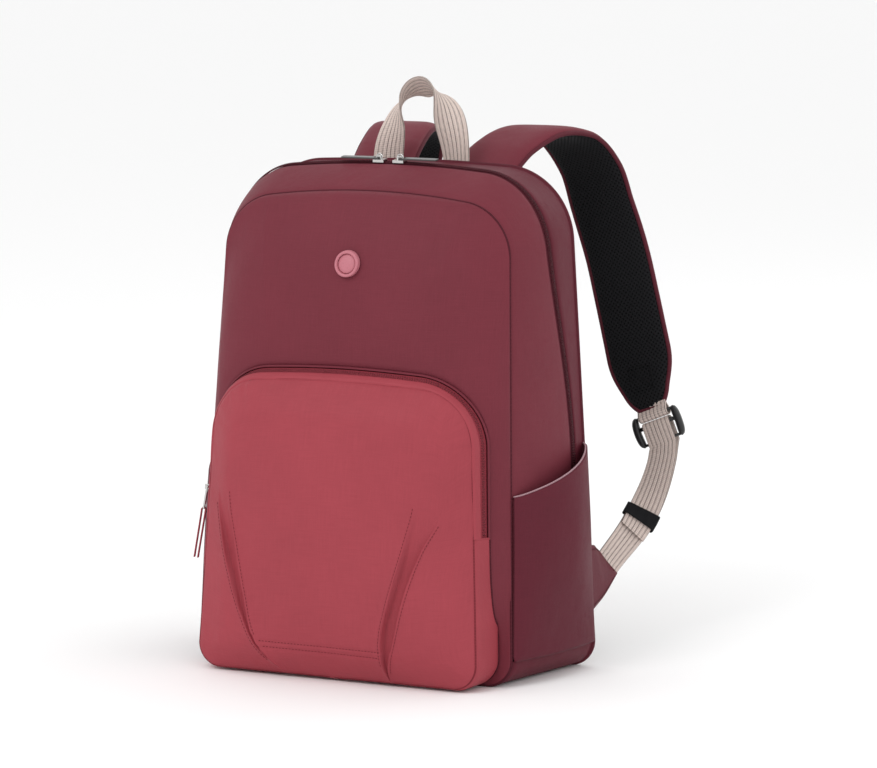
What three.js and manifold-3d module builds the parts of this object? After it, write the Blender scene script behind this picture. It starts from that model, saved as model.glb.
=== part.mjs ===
// Travel backpack with a front pocket, two side pockets, a webbing grab handle and two shoulder straps.
// Millimetres, +Z up. The bag stands on its base at z = 0, its front faces -Y, +X is to the viewer's right.
import * as THREE from "three";
import { mergeVertices } from "three/addons/utils/BufferGeometryUtils.js";
import Module from "manifold-3d";

// ---------- driving dimensions ----------
const GAP = 0.3; // clearance between pieces that touch
const ARCH_CENTRE = -270; // height of the centre of the front's top arch
const FOOT = 22; // radius of the bottom corners, and height of the base seam
const BACK = { half: 171.5, taper: 0.062, top: 426, corner: 64, bottom: 0, foot: FOOT, radius: 1800 };
const FRONT = { half: 147, taper: 0.04, top: 406, corner: 48, bottom: 0, foot: FOOT };
const BACK_Y = 70, FRONT_Y = -47, FRONT_LEAN = 0.07; // the front seam leans back as it rises
const SHELL = 3; // a lined fabric panel
const FRONT_CROWN = 36, GUSSET_BULGE = 6, TOP_BULGE = 12;
const ZIP = { topBack: 46, endBack: 20, tape: 11, coil: 2.5, end: 150 };
const POCKET = { half: 135, taper: 0.04, top: 262, corner: 62, bottom: 3, foot: 20, radius: 900 };
const FACE = { half: 131, taper: 0.05, top: 253, corner: 50, bottom: 2.5, foot: 20, radius: 900 };
const POCKET_DEPTH = 36, POCKET_BOW = 14, POCKET_CROWN = 20, POCKET_ZIP_END = 126;
const SIDE_POCKET = { bottom: 24, frontTop: 158, backTop: 200, bulge: 12, thick: 1.6 };
const WEBBING = { wide: 27, thick: 1.8 };
const STRAP = { half: 29, cover: 1.8, foam: 7, mesh: 2.2, from: 0, to: 1 };
const ADJUSTER = { wide: 27, thick: 1.5 };
const SLIDER_X = 9; // the two main sliders stand this far either side of the middle

// ---------- small helpers ----------
const v3 = (x, y, z) => new THREE.Vector3(x, y, z);
const lerp = (a, b, t) => a + (b - a) * t;
const clamp = (t) => Math.min(1, Math.max(0, t));
const smooth = (t) => clamp(t) ** 2 * (3 - 2 * clamp(t));
const range = (n, f) => Array.from({ length: n }, (_, i) => f(i));

const bag = new THREE.Group();
bag.name = "backpack";

function add(name, geometry, color, roughness = 0.8, metalness = 0) {
  const mesh = new THREE.Mesh(geometry, new THREE.MeshStandardMaterial({ color, roughness, metalness }));
  mesh.name = name;
  bag.add(mesh);
  return mesh;
}

// A piece and its mirror image on the other side of the bag.
function addPair(name, makeGeometry, color, roughness, metalness) {
  for (const [side, word] of [[1, "right"], [-1, "left"]])
    add(`${name}_${word}`, makeGeometry(side), color, roughness, metalness);
}

// A closed body from vertices and triangles, turned so that its faces point out.
function closedBody(points, triangles) {
  let volume = 0;
  for (const [a, b, c] of triangles) volume += points[a].dot(points[b].clone().cross(points[c]));
  const index = triangles.flatMap(([a, b, c]) => (volume < 0 ? [a, c, b] : [a, b, c]));
  const geometry = new THREE.BufferGeometry();
  geometry.setAttribute("position", new THREE.Float32BufferAttribute(points.flatMap((p) => p.toArray()), 3));
  geometry.setIndex(index);
  geometry.computeVertexNormals();
  return geometry;
}

// A panel between two grids of points with equal rows: both faces and the rim around them.
function panelBetween(outer, inner) {
  const rows = outer.length, cols = outer[0].length, count = rows * cols;
  const points = [...outer.flat(), ...inner.flat()];
  const at = (r, c) => r * cols + c;
  const triangles = [];
  const quad = (a, b, c, d) => triangles.push([a, b, c], [a, c, d]);
  for (let r = 0; r + 1 < rows; r++)
    for (let c = 0; c + 1 < cols; c++) {
      quad(at(r, c), at(r, c + 1), at(r + 1, c + 1), at(r + 1, c));
      quad(count + at(r, c), count + at(r + 1, c), count + at(r + 1, c + 1), count + at(r, c + 1));
    }
  for (let c = 0; c + 1 < cols; c++) {
    quad(at(0, c), count + at(0, c), count + at(0, c + 1), at(0, c + 1));
    quad(at(rows - 1, c), at(rows - 1, c + 1), count + at(rows - 1, c + 1), count + at(rows - 1, c));
  }
  for (let r = 0; r + 1 < rows; r++) {
    quad(at(r, 0), at(r + 1, 0), count + at(r + 1, 0), count + at(r, 0));
    quad(at(r, cols - 1), count + at(r, cols - 1), count + at(r + 1, cols - 1), at(r + 1, cols - 1));
  }
  return closedBody(points, triangles);
}

// A panel over closed loops that shrink to a centre point. Each loop and the centre come for both faces.
function loopPanel(outerLoops, outerCentre, innerLoops, innerCentre) {
  const n = outerLoops[0].length, half = outerLoops.length * n + 1;
  const points = [...outerLoops.flat(), outerCentre, ...innerLoops.flat(), innerCentre];
  const triangles = [];
  const both = (a, b, c) => triangles.push([a, b, c], [half + a, half + c, half + b]);
  outerLoops.forEach((_, k) => {
    for (let i = 0; i < n; i++) {
      const j = (i + 1) % n, a = k * n + i, b = k * n + j;
      if (k + 1 < outerLoops.length) {
        both(a, b, b + n);
        both(a, b + n, a + n);
      } else both(a, b, half - 1);
    }
  });
  for (let i = 0; i < n; i++) {
    const j = (i + 1) % n;
    triangles.push([i, half + i, half + j], [i, half + j, j]);
  }
  return closedBody(points, triangles);
}

// A flat ribbon through frames { p, w, n }: centre, sideways direction and outward normal.
// halfWidth may change along it; from and to are the depths of its two faces along the normal.
function ribbon(frames, halfWidth, from, to) {
  const width = typeof halfWidth === "function" ? halfWidth : () => halfWidth;
  const face = (depth) => frames.map(({ p, w, n }, i) => {
    const h = width(i / (frames.length - 1));
    return [-1, 0, 1].map((s) => p.clone().addScaledVector(w, s * h).addScaledVector(n, depth));
  });
  return panelBetween(face(to), face(from));
}

// Frames along a curve whose sideways direction stays as close as it can to the one given.
function curveFrames(points, sideways, count) {
  const curve = new THREE.CatmullRomCurve3(points, false, "centripetal");
  return range(count, (i) => {
    const u = i / (count - 1), p = curve.getPointAt(u), t = curve.getTangentAt(u);
    const want = typeof sideways === "function" ? sideways(u) : sideways;
    const w = want.clone().addScaledVector(t, -want.dot(t)).normalize();
    return { p, w, n: w.clone().cross(t), t };
  });
}

// ---------- outlines, seen from the front ----------
// Each loop starts at the middle of the bottom and runs round the right-hand side. The side is a leaning
// line, the top an arch, and each upper corner an arc tangent to both. Every loop has the same steps.
const STEPS = { bottom: 3, foot: 4, side: 6, corner: 7, arch: 4 };
const SIDE_START = STEPS.bottom + STEPS.foot;
const CORNER_START = SIDE_START + STEPS.side;
const TOP = CORNER_START + STEPS.corner + STEPS.arch; // the middle of the top
const ROUND = 2 * TOP;

function outline(o) {
  const root = Math.hypot(1, o.taper), radius = o.radius ?? o.top - ARCH_CENTRE, archZ = o.top - radius;
  const q = o.half - o.corner * root, reach = radius - o.corner;
  const a = 1 + o.taper ** 2, b = -2 * (q * o.taper + archZ), c = q * q + archZ ** 2 - reach ** 2;
  const cz = (-b + Math.sqrt(b * b - 4 * a * c)) / (2 * a), cx = q - o.taper * cz;
  const sideAngle = Math.atan2(o.taper, 1), archAngle = Math.atan2(cz - archZ, cx);
  const sideX = (z) => o.half - o.taper * z, footZ = o.bottom + o.foot, footX = sideX(footZ) - o.foot;
  const right = [];
  const put = (x, z, angle) => right.push({ x, z, nx: Math.cos(angle), nz: Math.sin(angle) });
  for (let i = 0; i < STEPS.bottom; i++) put(footX * (i / STEPS.bottom), o.bottom, -Math.PI / 2);
  for (let i = 0; i < STEPS.foot; i++) {
    const t = -Math.PI / 2 + (i / STEPS.foot) * (Math.PI / 2);
    put(footX + o.foot * Math.cos(t), footZ + o.foot * Math.sin(t), t);
  }
  const sideTop = cz + o.corner * Math.sin(sideAngle);
  for (let i = 0; i < STEPS.side; i++) {
    const z = lerp(footZ, sideTop, i / STEPS.side);
    put(sideX(z), z, sideAngle);
  }
  for (let i = 0; i < STEPS.corner; i++) {
    const t = lerp(sideAngle, archAngle, i / STEPS.corner);
    put(cx + o.corner * Math.cos(t), cz + o.corner * Math.sin(t), t);
  }
  for (let i = 0; i <= STEPS.arch; i++) {
    const t = lerp(archAngle, Math.PI / 2, i / STEPS.arch);
    put(radius * Math.cos(t), archZ + radius * Math.sin(t), t);
  }
  right[0].x = right[TOP].x = 0;
  const left = right.slice(1, -1).reverse().map((p) => ({ ...p, x: -p.x, nx: -p.nx }));
  return [...right, ...left];
}

// A point of a loop at any step, whole or not, counted either way round.
function loopAt(loop, step) {
  const s = ((step % ROUND) + ROUND) % ROUND, i = Math.floor(s), t = s - i;
  const a = loop[i], b = loop[(i + 1) % ROUND];
  const mix = (key) => lerp(a[key], b[key], t);
  return { x: mix("x"), z: mix("z"), nx: mix("nx"), nz: mix("nz") };
}
// Every whole step between two steps, with the two steps themselves.
function stepsBetween(from, to) {
  const whole = range(Math.ceil(to) - Math.floor(from) + 1, (i) => Math.floor(from) + i);
  return [from, ...whole.filter((s) => s > from + 0.02 && s < to - 0.02), to];
}
// The step on the right-hand side at which a loop reaches a height.
function stepAtHeight(loop, z) {
  let i = SIDE_START;
  while (loop[i + 1].z < z) i++;
  return i + (z - loop[i].z) / (loop[i + 1].z - loop[i].z);
}

// How far a face swells between its seams, from 0 at the seam to 1 in the middle.
function swell(x, z, o, power) {
  const middle = (o.top + o.bottom) / 2;
  const across = Math.abs(x / (o.half - o.taper * z)) ** 3;
  const along = Math.abs((z - middle) / (middle - o.bottom)) ** 5;
  return clamp(1 - across - along) ** power;
}
const shrink = (loop, o, scale) => {
  const middle = (o.top + o.bottom) / 2;
  return loop.map(({ x, z }) => ({ x: x * scale, z: middle + (z - middle) * scale }));
};

// A cushion over an outline: its two faces are given as depths over (x, z).
function cushion(o, outerY, innerY, scales) {
  const loop = outline(o), middle = (o.top + o.bottom) / 2;
  const face = (depth) => scales.map((s) => shrink(loop, o, s).map(({ x, z }) => v3(x, depth(x, z), z)));
  return loopPanel(face(outerY), v3(0, outerY(0, middle), middle), face(innerY), v3(0, innerY(0, middle), middle));
}

// ---------- main body ----------
const backLoop = outline(BACK), frontLoop = outline(FRONT);
const pocketLoop = outline(POCKET), faceLoop = outline(FACE);
const frontY = (z) => FRONT_Y + FRONT_LEAN * z;
const panelY = (x, z) => frontY(z) - FRONT_CROWN * swell(x, z, FRONT, 0.55);

// Front panel: rings run from its own outline to the outline of the pocket, then to the middle.
function frontPanel() {
  const between = [0, 0.12, 0.35, 0.65, 1].map((t) => frontLoop.map((p, i) => {
    const x = lerp(p.x, pocketLoop[i].x, t), z = lerp(p.z, pocketLoop[i].z, t);
    return v3(x, t === 0 ? frontY(z) : panelY(x, z), z);
  }));
  const inside = [0.7, 0.35].map((s) => shrink(pocketLoop, POCKET, s).map(({ x, z }) => v3(x, frontY(z) - 5, z)));
  const rings = [...between, ...inside], middle = (POCKET.top + POCKET.bottom) / 2;
  const deeper = (p) => p.clone().add(v3(0, SHELL, 0));
  const centre = v3(0, frontY(middle) - 5, middle);
  return loopPanel(rings, centre, rings.map((ring) => ring.map(deeper)), deeper(centre));
}

// A point of the side band: step counts along the outline, y is its depth, lift its height off the band.
function bandPoint(step, y, lift = 0) {
  const f = loopAt(frontLoop, step), b = loopAt(backLoop, step);
  const y0 = frontY(f.z), share = (y - y0) / (BACK_Y - y0);
  const fullness = smooth((f.z - 4) / 30), top = Math.max(0, b.nz) ** 2;
  const even = 4 * share * (1 - share), ridged = share < 0.5 ? even : (2 - 2 * share) ** 1.6;
  const out = lerp(GUSSET_BULGE, TOP_BULGE, top) * lerp(even, ridged, top) * fullness + lift;
  return v3(lerp(f.x, b.x, share) + b.nx * out, y, lerp(f.z, b.z, share) + b.nz * out);
}
const bandFront = (step) => frontY(loopAt(frontLoop, step).z) + SHELL + GAP;
const bandBack = () => BACK_Y - SHELL - GAP;
function band(steps, fromY, toY, thickness, lift = 0, across = 4) {
  const face = (down) => steps.map((s) => range(across + 1, (j) =>
    bandPoint(s, lerp(fromY(s), toY(s), j / across), lift - down)));
  return panelBetween(face(0), face(thickness));
}
const zipFrom = stepAtHeight(backLoop, ZIP.end), zipTo = ROUND - zipFrom;
const onZip = (step) => step > zipFrom - 0.01 && step < zipTo + 0.01;
const zipY = (step) => {
  const z = loopAt(backLoop, step).z;
  return BACK_Y - lerp(ZIP.endBack, ZIP.topBack, smooth((z - 190) / 215));
};
const gussetSteps = [SIDE_START, ...stepsBetween(SIDE_START, zipFrom - 0.03).slice(1), ...stepsBetween(zipFrom, zipTo),
  ...stepsBetween(zipTo + 0.03, ROUND - SIDE_START)];
const tapeSteps = stepsBetween(zipFrom + 0.05, zipTo - 0.05);
const baseSteps = stepsBetween(0.02 - SIDE_START, SIDE_START - 0.02);

const BURGUNDY = 0x74323f, DEEP = 0x6c2c3a, TAPE = 0x4a1c28, COIL = 0x53232f, CORAL = 0xa8434f, BLACK = 0x17171a;
const METAL = 0x8a8c92, PALE = 0xcbbcb2;

add("front_panel", frontPanel(), BURGUNDY);
add("front_gusset", band(gussetSteps, bandFront, (s) => zipY(s) - (onZip(s) ? ZIP.tape + GAP : GAP), SHELL), BURGUNDY);
add("rear_gusset", band(gussetSteps, (s) => zipY(s) + (onZip(s) ? ZIP.tape + GAP : GAP), bandBack, SHELL), DEEP);
add("main_zipper_tape_front", band(tapeSteps, (s) => zipY(s) - ZIP.tape, (s) => zipY(s) - GAP, 1, -1.4, 2), TAPE);
add("main_zipper_tape_rear", band(tapeSteps, (s) => zipY(s) + GAP, (s) => zipY(s) + ZIP.tape, 1, -1.4, 2), TAPE);
add("main_zipper_coil", band(tapeSteps, (s) => zipY(s) - ZIP.coil, (s) => zipY(s) + ZIP.coil, 1.3, 0.4, 2), COIL, 0.5);
add("base_panel", band(baseSteps, bandFront, bandBack, 2.6, 0), DEEP);
add("back_panel", cushion(BACK, () => BACK_Y, () => BACK_Y - SHELL, [1, 0.5]), DEEP);

// The padded back, and what lies inside the bag against it.
const PAD = { half: 122, taper: 0.06, top: 380, corner: 40, bottom: 40, foot: 30, radius: 900 };
const SLEEVE = { half: 128, taper: 0.04, top: 300, corner: 20, bottom: 12, foot: 20, radius: 4000 };
const FOAM = { half: 145, taper: 0.055, top: 417, corner: 74, bottom: 8, foot: 20 };
add("back_pad", cushion(PAD, (x, z) => BACK_Y + 4 + 7 * swell(x, z, PAD, 0.5), () => BACK_Y + GAP, [1, 0.85, 0.5]), BLACK, 0.9);
add("back_foam", cushion(FOAM, () => BACK_Y - SHELL - GAP, () => BACK_Y - SHELL - 2.8, [1]), 0x2a2a2a, 0.9);
add("laptop_sleeve", cushion(SLEEVE, () => BACK_Y - 28, () => BACK_Y - 31.4, [1]), 0x3a3a3e, 0.85);
const ORGANIZER = { half: 118, taper: 0.04, top: 300, corner: 20, bottom: 30, foot: 20, radius: 4000 };
add("front_organizer", cushion(ORGANIZER, (x, z) => frontY(z) + 7, (x, z) => frontY(z) + 10, [1]), 0x3a3a3e, 0.85);
add("base_board", new THREE.BoxGeometry(236, 92, 5).translate(0, 4, 5.8), 0x303034, 0.7);
const YOKE = { half: 78, taper: 0, top: 405, corner: 8, bottom: 383, foot: 8, radius: 700 };
add("strap_yoke", cushion(YOKE, () => BACK_Y + GAP + 2.4, () => BACK_Y + GAP, [1]), DEEP);

// ---------- front pocket ----------
// The seam of the pocket's face bows forward in the middle as the panel behind it does.
const faceSeamY = (x, z) =>
  frontY(z) - POCKET_DEPTH - POCKET_BOW * (1 - (x / FACE.half) ** 2) * smooth((z - 40) / 180);
function pocketPoint(step, share, lift = 0) {
  const p = loopAt(pocketLoop, step), f = loopAt(faceLoop, step);
  const y0 = panelY(p.x, p.z) - 2 * GAP, y1 = faceSeamY(f.x, f.z) + 2;
  return v3(lerp(p.x, f.x, share) + f.nx * lift, lerp(y0, y1, share), lerp(p.z, f.z, share) + f.nz * lift);
}
function pocketBand(steps, from, to, thickness, lift = 0, across = 3) {
  const face = (down) => steps.map((s) => range(across + 1, (j) =>
    pocketPoint(s, lerp(from, to, j / across), lift - down)));
  return panelBetween(face(0), face(thickness));
}
const faceY = (x, z) => faceSeamY(x, z) - POCKET_CROWN * swell(x, z, FACE, 0.6);
const pocketZipFrom = stepAtHeight(pocketLoop, POCKET_ZIP_END), pocketZipTo = ROUND - pocketZipFrom;
const pocketUpper = stepsBetween(pocketZipFrom, pocketZipTo);
const pocketLower = stepsBetween(0.02 - pocketZipFrom, pocketZipFrom - 0.02);
const POCKET_TAPE = { from: 0.08, to: 0.56, coil: 0.31 };
add("pocket_face", cushion(FACE, faceY, (x, z) => faceY(x, z) + 1.7 + 1.5 * swell(x, z, FACE, 0.3),
  [1, 0.93, 0.8, 0.5]), CORAL);
add("pocket_gusset", pocketBand(pocketUpper, POCKET_TAPE.to + 0.015, 1, 1.6), CORAL);
add("pocket_back_strip", pocketBand(pocketUpper, 0, POCKET_TAPE.from - 0.015, 1.6, 0, 1), BURGUNDY);
add("pocket_zipper_tape", pocketBand(pocketUpper, POCKET_TAPE.from, POCKET_TAPE.to, 0.9, -0.8, 2), 0x6e2733);
add("pocket_zipper_coil", pocketBand(pocketUpper, POCKET_TAPE.coil - 0.09, POCKET_TAPE.coil + 0.09, 1.1, 0.7, 1), 0x5b1f2b, 0.5);
add("pocket_lower_gusset", pocketBand(pocketLower, 0, 1, 1.6), CORAL);

// ---------- side pockets ----------
function sidePocketGrid(side, down, zOf, rows, columns) {
  return range(rows + 1, (r) => range(columns + 1, (c) => {
    const share = c / columns, z = zOf(share, r / rows);
    const f = { x: FRONT.half - FRONT.taper * z }, b = { x: BACK.half - BACK.taper * z };
    const y0 = frontY(z) + SHELL + 1, y = lerp(y0, BACK_Y - SHELL - 1, share);
    const s = (y - frontY(z)) / (BACK_Y - frontY(z)), rise = r / rows;
    const out = (GUSSET_BULGE + SIDE_POCKET.bulge * smooth(rise * 1.4)) * 4 * s * (1 - s) + 0.9;
    return v3(side * (lerp(f.x, b.x, s) + out + SIDE_POCKET.thick - down), y, z);
  }));
}
const pocketTopAt = (share) => lerp(SIDE_POCKET.frontTop, SIDE_POCKET.backTop, share ** 1.3);
const pocketHeight = (share, rise) => lerp(SIDE_POCKET.bottom, pocketTopAt(share), rise);
addPair("side_pocket", (side) => panelBetween(sidePocketGrid(side, 0, pocketHeight, 5, 8),
  sidePocketGrid(side, SIDE_POCKET.thick, pocketHeight, 5, 8)), 0x63293a);
// The binding caps the raw edge of the pocket.
function bindingGrid(side, down) {
  const rows = [GAP, 3];
  const top = sidePocketGrid(side, down, pocketHeight, 5, 8)[5];
  return rows.map((rise) => top.map((p) => p.clone().add(v3(0, 0, rise))));
}
addPair("side_pocket_binding", (side) => panelBetween(bindingGrid(side, -0.3), bindingGrid(side, SIDE_POCKET.thick)), 0xc79fa6);

// ---------- badge: a plain domed disc in a rim ----------
const BADGE_Z = 348;
const badgeY = panelY(0, BADGE_Z) - 1.2;
function turned(profile, y, z) {
  return new THREE.LatheGeometry(profile.map(([r, h]) => new THREE.Vector2(r, h)), 28).rotateX(Math.PI)
    .translate(0, y, z);
}
add("badge_rim", turned([[8.4, 0], [11, 0], [11, 1.6], [10, 2.4], [8.4, 2.2], [8.4, 0]], badgeY - 0.4, BADGE_Z)
  , 0x9c5560, 0.45);
add("badge_disc", turned([[0, 0], [8, 0], [8, 1], [5, 1.8], [0, 2]], badgeY - 0.4, BADGE_Z), 0xba6f7c, 0.4);

// ---------- grab handle: one length of webbing whose inner edge comes forward as it goes over the top ----------
const HANDLE = { x: 2.5, y: BACK_Y + 11.5, z: 416, turnLeg: -10, turnTop: 134, late: 2.2 };
const HANDLE_PATH = [[-33, 0], [-31.5, 18], [-27, 36], [-22, 52], [-11, 67], [2.5, 72], [13, 68.5], [20.5, 59],
  [27.5, 39], [31.5, 20], [33, 0]];
function handleFrames(count) {
  const path = new THREE.CatmullRomCurve3(HANDLE_PATH.map(([x, z]) => v3(HANDLE.x + x, HANDLE.y, HANDLE.z + z)),
    false, "centripetal");
  return range(count, (i) => {
    const u = i / (count - 1), p = path.getPointAt(u), t = path.getTangentAt(u);
    const turn = THREE.MathUtils.degToRad(lerp(HANDLE.turnLeg, HANDLE.turnTop, (1 - Math.abs(2 * u - 1)) ** HANDLE.late));
    const outwards = v3(-t.z, 0, t.x).normalize();
    const w = outwards.multiplyScalar(Math.cos(turn)).add(v3(0, Math.sin(turn), 0));
    return { p, w, n: w.clone().cross(t).normalize(), t };
  });
}
add("handle_webbing", ribbon(handleFrames(41), WEBBING.wide / 2, -WEBBING.thick / 2, WEBBING.thick / 2), PALE);

// ---------- shoulder straps ----------
// Each strap leaves the bag upwards, turns over and hangs behind it. Its mesh side faces the bag.
const STRAP_PATH = [[51, 86, 408], [60, 124, 434], [73, 162, 446], [87, 200, 438], [99, 222, 412], [107, 231, 378],
  [120, 233, 337], [131, 231, 297], [142, 227, 258], [153, 221, 222], [160, 218, 202]];
const LEFT_INWARD = [8, 12, 18, 21, 19, 13, 7, 2, 0, 0, 0]; // the left strap hangs a little closer to the middle
const strapFrames = (side) => curveFrames(STRAP_PATH.map(([x, y, z], i) =>
  v3(side * (side > 0 ? x : x - LEFT_INWARD[i]), y, z)), v3(1, 0, 0), 32);
const strapHalf = (u) => STRAP.half * (1 - 0.42 * smooth((u - 0.86) / 0.14) ** 1.5);
const LAYERS = { mesh: [-5.5, -5.5 + STRAP.mesh], foam: [-3, 4], cover: [4.4, 4.4 + STRAP.cover] };
addPair("strap_cover", (side) => ribbon(strapFrames(side), strapHalf, ...LAYERS.cover), BURGUNDY);
addPair("strap_foam", (side) => ribbon(strapFrames(side), (u) => strapHalf(u) - 2, ...LAYERS.foam), 0x2a2a2a, 0.9);
addPair("strap_mesh", (side) => ribbon(strapFrames(side), strapHalf, ...LAYERS.mesh), BLACK, 0.9);

// ---------- ladder locks and webbing ----------
const LOCK = { x: 167.5, y: 217, z: 186.5, wide: 45, tall: 27, thick: 5, tilt: -22 };
const LOCK_SLOTS = [8.3, -1, -8.6], SLOT = { wide: 36, tall: 3.6 };
// Geometry drawn in the lock's own plane is turned and moved to where the lock hangs.
const atLock = (geometry, side) => geometry.rotateY(THREE.MathUtils.degToRad(side * LOCK.tilt))
  .translate(side * LOCK.x, LOCK.y, LOCK.z);

function plateWithSlots(wide, tall, thick, slots, radius = 3) {
  const shape = new THREE.Shape(), x = wide / 2 - radius, z = tall / 2 - radius;
  [[x, -z, -0.5], [x, z, 0], [-x, z, 0.5], [-x, -z, 1]].forEach(([px, pz, quarter]) =>
    shape.absarc(px, pz, radius, quarter * Math.PI, (quarter + 0.5) * Math.PI));
  for (const [cx, cz, w, h] of slots) {
    const hole = new THREE.Path();
    hole.setFromPoints([[-1, -1], [-1, 1], [1, 1], [1, -1], [-1, -1]].map(([u, v]) =>
      new THREE.Vector2(cx + (u * w) / 2, cz + (v * h) / 2)));
    shape.holes.push(hole);
  }
  return new THREE.ExtrudeGeometry(shape, { depth: thick, bevelEnabled: false, curveSegments: 4 })
    .translate(0, 0, -thick / 2);
}
addPair("ladder_lock", (side) => atLock(plateWithSlots(LOCK.wide, LOCK.tall, LOCK.thick,
  LOCK_SLOTS.map((z) => [0, z, SLOT.wide, SLOT.tall])).rotateX(Math.PI / 2), side), BLACK, 0.5);

// The short loop that joins the strap to the lock goes round the lock's top bar.
const loopPath = [[-4, 13.6], [-4, 11.5], [-3.5, 9.2], [0, 7.9], [3.5, 9.2], [4, 11.5], [4, 13.6]]
  .map(([y, z]) => v3(0, y, z));
addPair("strap_loop", (side) =>
  atLock(ribbon(curveFrames(loopPath, v3(1, 0, 0), 15), WEBBING.wide / 2 + 2, -0.6, 0.6), side), PALE);

// The adjuster runs from the anchor wing up behind the lock, over the lock's middle bar, and back down in
// front of itself to a free end that the keeper holds.
const wingEdge = v3(0.39, 0.53, -0.72), WING_TIP = v3(154, 142, 78);
const ADJUSTER_PATH = [[173.2, 217, 172.6], [173, 211, 156], [170, 198, 132], [164, 175, 105], [WING_TIP.x, WING_TIP.y, WING_TIP.z]];
function adjusterLine(side, count) {
  const lockWide = v3(1, 0, 0).applyAxisAngle(v3(0, 1, 0), THREE.MathUtils.degToRad(LOCK.tilt));
  const frames = curveFrames(ADJUSTER_PATH.map(([x, y, z]) => v3(x, y, z)),
    (u) => lockWide.clone().lerp(wingEdge, smooth(u)), count);
  return frames.map(({ p, w, n }) => ({ p: p.multiply(v3(side, 1, 1)), w: w.multiply(v3(side, 1, 1)),
    n: n.multiply(v3(side, 1, 1)) }));
}
const APART = 1.4, TAIL = 10; // half the distance between the two layers; the frame at which the free end stops
function adjuster(side) {
  const line = adjusterLine(side, 15);
  const shifted = (f, d, flip = 1) => ({ p: f.p.clone().addScaledVector(f.n, d), w: f.w, n: f.n.clone().multiplyScalar(flip) });
  const front = line.slice(1, TAIL + 1).map((f) => shifted(f, -APART, -1)).reverse();
  const back = line.slice(1).map((f) => shifted(f, APART));
  const turn = THREE.MathUtils.degToRad(side * LOCK.tilt);
  const put = (v) => v.applyAxisAngle(v3(0, 1, 0), turn);
  const over = [-1, ...range(9, (i) => i / 8), 2].map((k) => {
    const t = Math.PI * clamp(k), straight = k < 0 || k > 1, round = (c) => Math.sign(c) * Math.abs(c) ** 0.7;
    const y = -3.9 * round(Math.cos(t)), z = straight ? -15.5 : -4.8 + 3.6 * round(Math.sin(t));
    return { p: put(v3(0, y, z)).add(v3(side * LOCK.x, LOCK.y, LOCK.z)), w: put(v3(side, 0, 0)),
      n: put(v3(0, -Math.cos(t), Math.sin(t))) };
  });
  return ribbon([...front, ...over, ...back], ADJUSTER.wide / 2, -ADJUSTER.thick / 2, ADJUSTER.thick / 2);
}
addPair("adjuster_webbing", adjuster, PALE);

// A tube between two rows of closed sections.
function sleeve(outer, inner) {
  const n = outer[0].length, rows = outer.length;
  const points = [...outer.flat(), ...inner.flat()], triangles = [];
  const at = (set, r, i) => set * rows * n + r * n + (i % n);
  const quad = (a, b, c, d) => triangles.push([a, b, c], [a, c, d]);
  for (let i = 0; i < n; i++) {
    for (let r = 0; r + 1 < rows; r++) {
      quad(at(0, r, i), at(0, r, i + 1), at(0, r + 1, i + 1), at(0, r + 1, i));
      quad(at(1, r, i), at(1, r + 1, i), at(1, r + 1, i + 1), at(1, r, i + 1));
    }
    quad(at(0, 0, i), at(1, 0, i), at(1, 0, i + 1), at(0, 0, i + 1));
    quad(at(0, rows - 1, i), at(0, rows - 1, i + 1), at(1, rows - 1, i + 1), at(1, rows - 1, i));
  }
  return closedBody(points, triangles);
}
// The keeper is a sleeve of elastic round both layers of the adjuster.
function keeper(side) {
  const line = adjusterLine(side, 15);
  const between = (k, t) => ["p", "w", "n"].map((key) => line[k][key].clone().lerp(line[k + 1][key], t));
  const stops = [between(7, 0.25), between(7, 1), between(8, 0.75)];
  const section = (grow) => stops.map(([p, w, n]) => {
    const h = ADJUSTER.wide / 2 + grow, d = APART + ADJUSTER.thick / 2 + grow;
    return [[-h, -d], [h, -d], [h, d], [-h, d]].map(([a, b]) =>
      p.clone().addScaledVector(w, a).addScaledVector(n, b));
  });
  return sleeve(section(2.8), section(1.6));
}
addPair("webbing_keeper", keeper, BLACK);

// The anchor wing: a stiff double triangle of cloth sewn into the back seam, its tip sewn to the adjuster.
addPair("strap_wing", (side) => {
  const reach = ADJUSTER.wide / 2 + 1, tip = WING_TIP.clone().add(v3(0, -3, -1.2));
  const rows = [[v3(160, BACK_Y + 1, 103), v3(163.5, BACK_Y + 1, 40)],
    [v3(157, 103, 98), v3(163, 110, 52)],
    [tip.clone().addScaledVector(wingEdge, -reach), tip.clone().addScaledVector(wingEdge, reach)]];
  const face = (depth) => rows.map(([a, b]) => range(4, (i) => a.clone().lerp(b, i / 3))
    .map((p) => v3(side * (p.x - depth), p.y, p.z)));
  return panelBetween(face(0), face(2.4));
}, DEEP);

// ---------- sliders and pullers ----------
const wasm = await Module();
wasm.setup();
// Joins overlapping closed pieces into one.
function join(geometries) {
  const solids = geometries.map((g) => {
    const merged = mergeVertices(new THREE.BufferGeometry().setAttribute("position",
      (g.index ? g.toNonIndexed() : g).getAttribute("position")), 1e-4);
    return new wasm.Manifold(new wasm.Mesh({ numProp: 3, vertProperties: merged.attributes.position.array,
      triVerts: new Uint32Array(merged.index.array) }));
  });
  const mesh = wasm.Manifold.union(solids).getMesh();
  const geometry = new THREE.BufferGeometry();
  geometry.setAttribute("position", new THREE.Float32BufferAttribute(mesh.vertProperties, 3));
  geometry.setIndex([...mesh.triVerts]);
  return geometry.toNonIndexed();
}
const box = (x0, x1, y0, y1, z0, z1) =>
  new THREE.BoxGeometry(x1 - x0, y1 - y0, z1 - z0).translate((x0 + x1) / 2, (y0 + y1) / 2, (z0 + z1) / 2);

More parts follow.
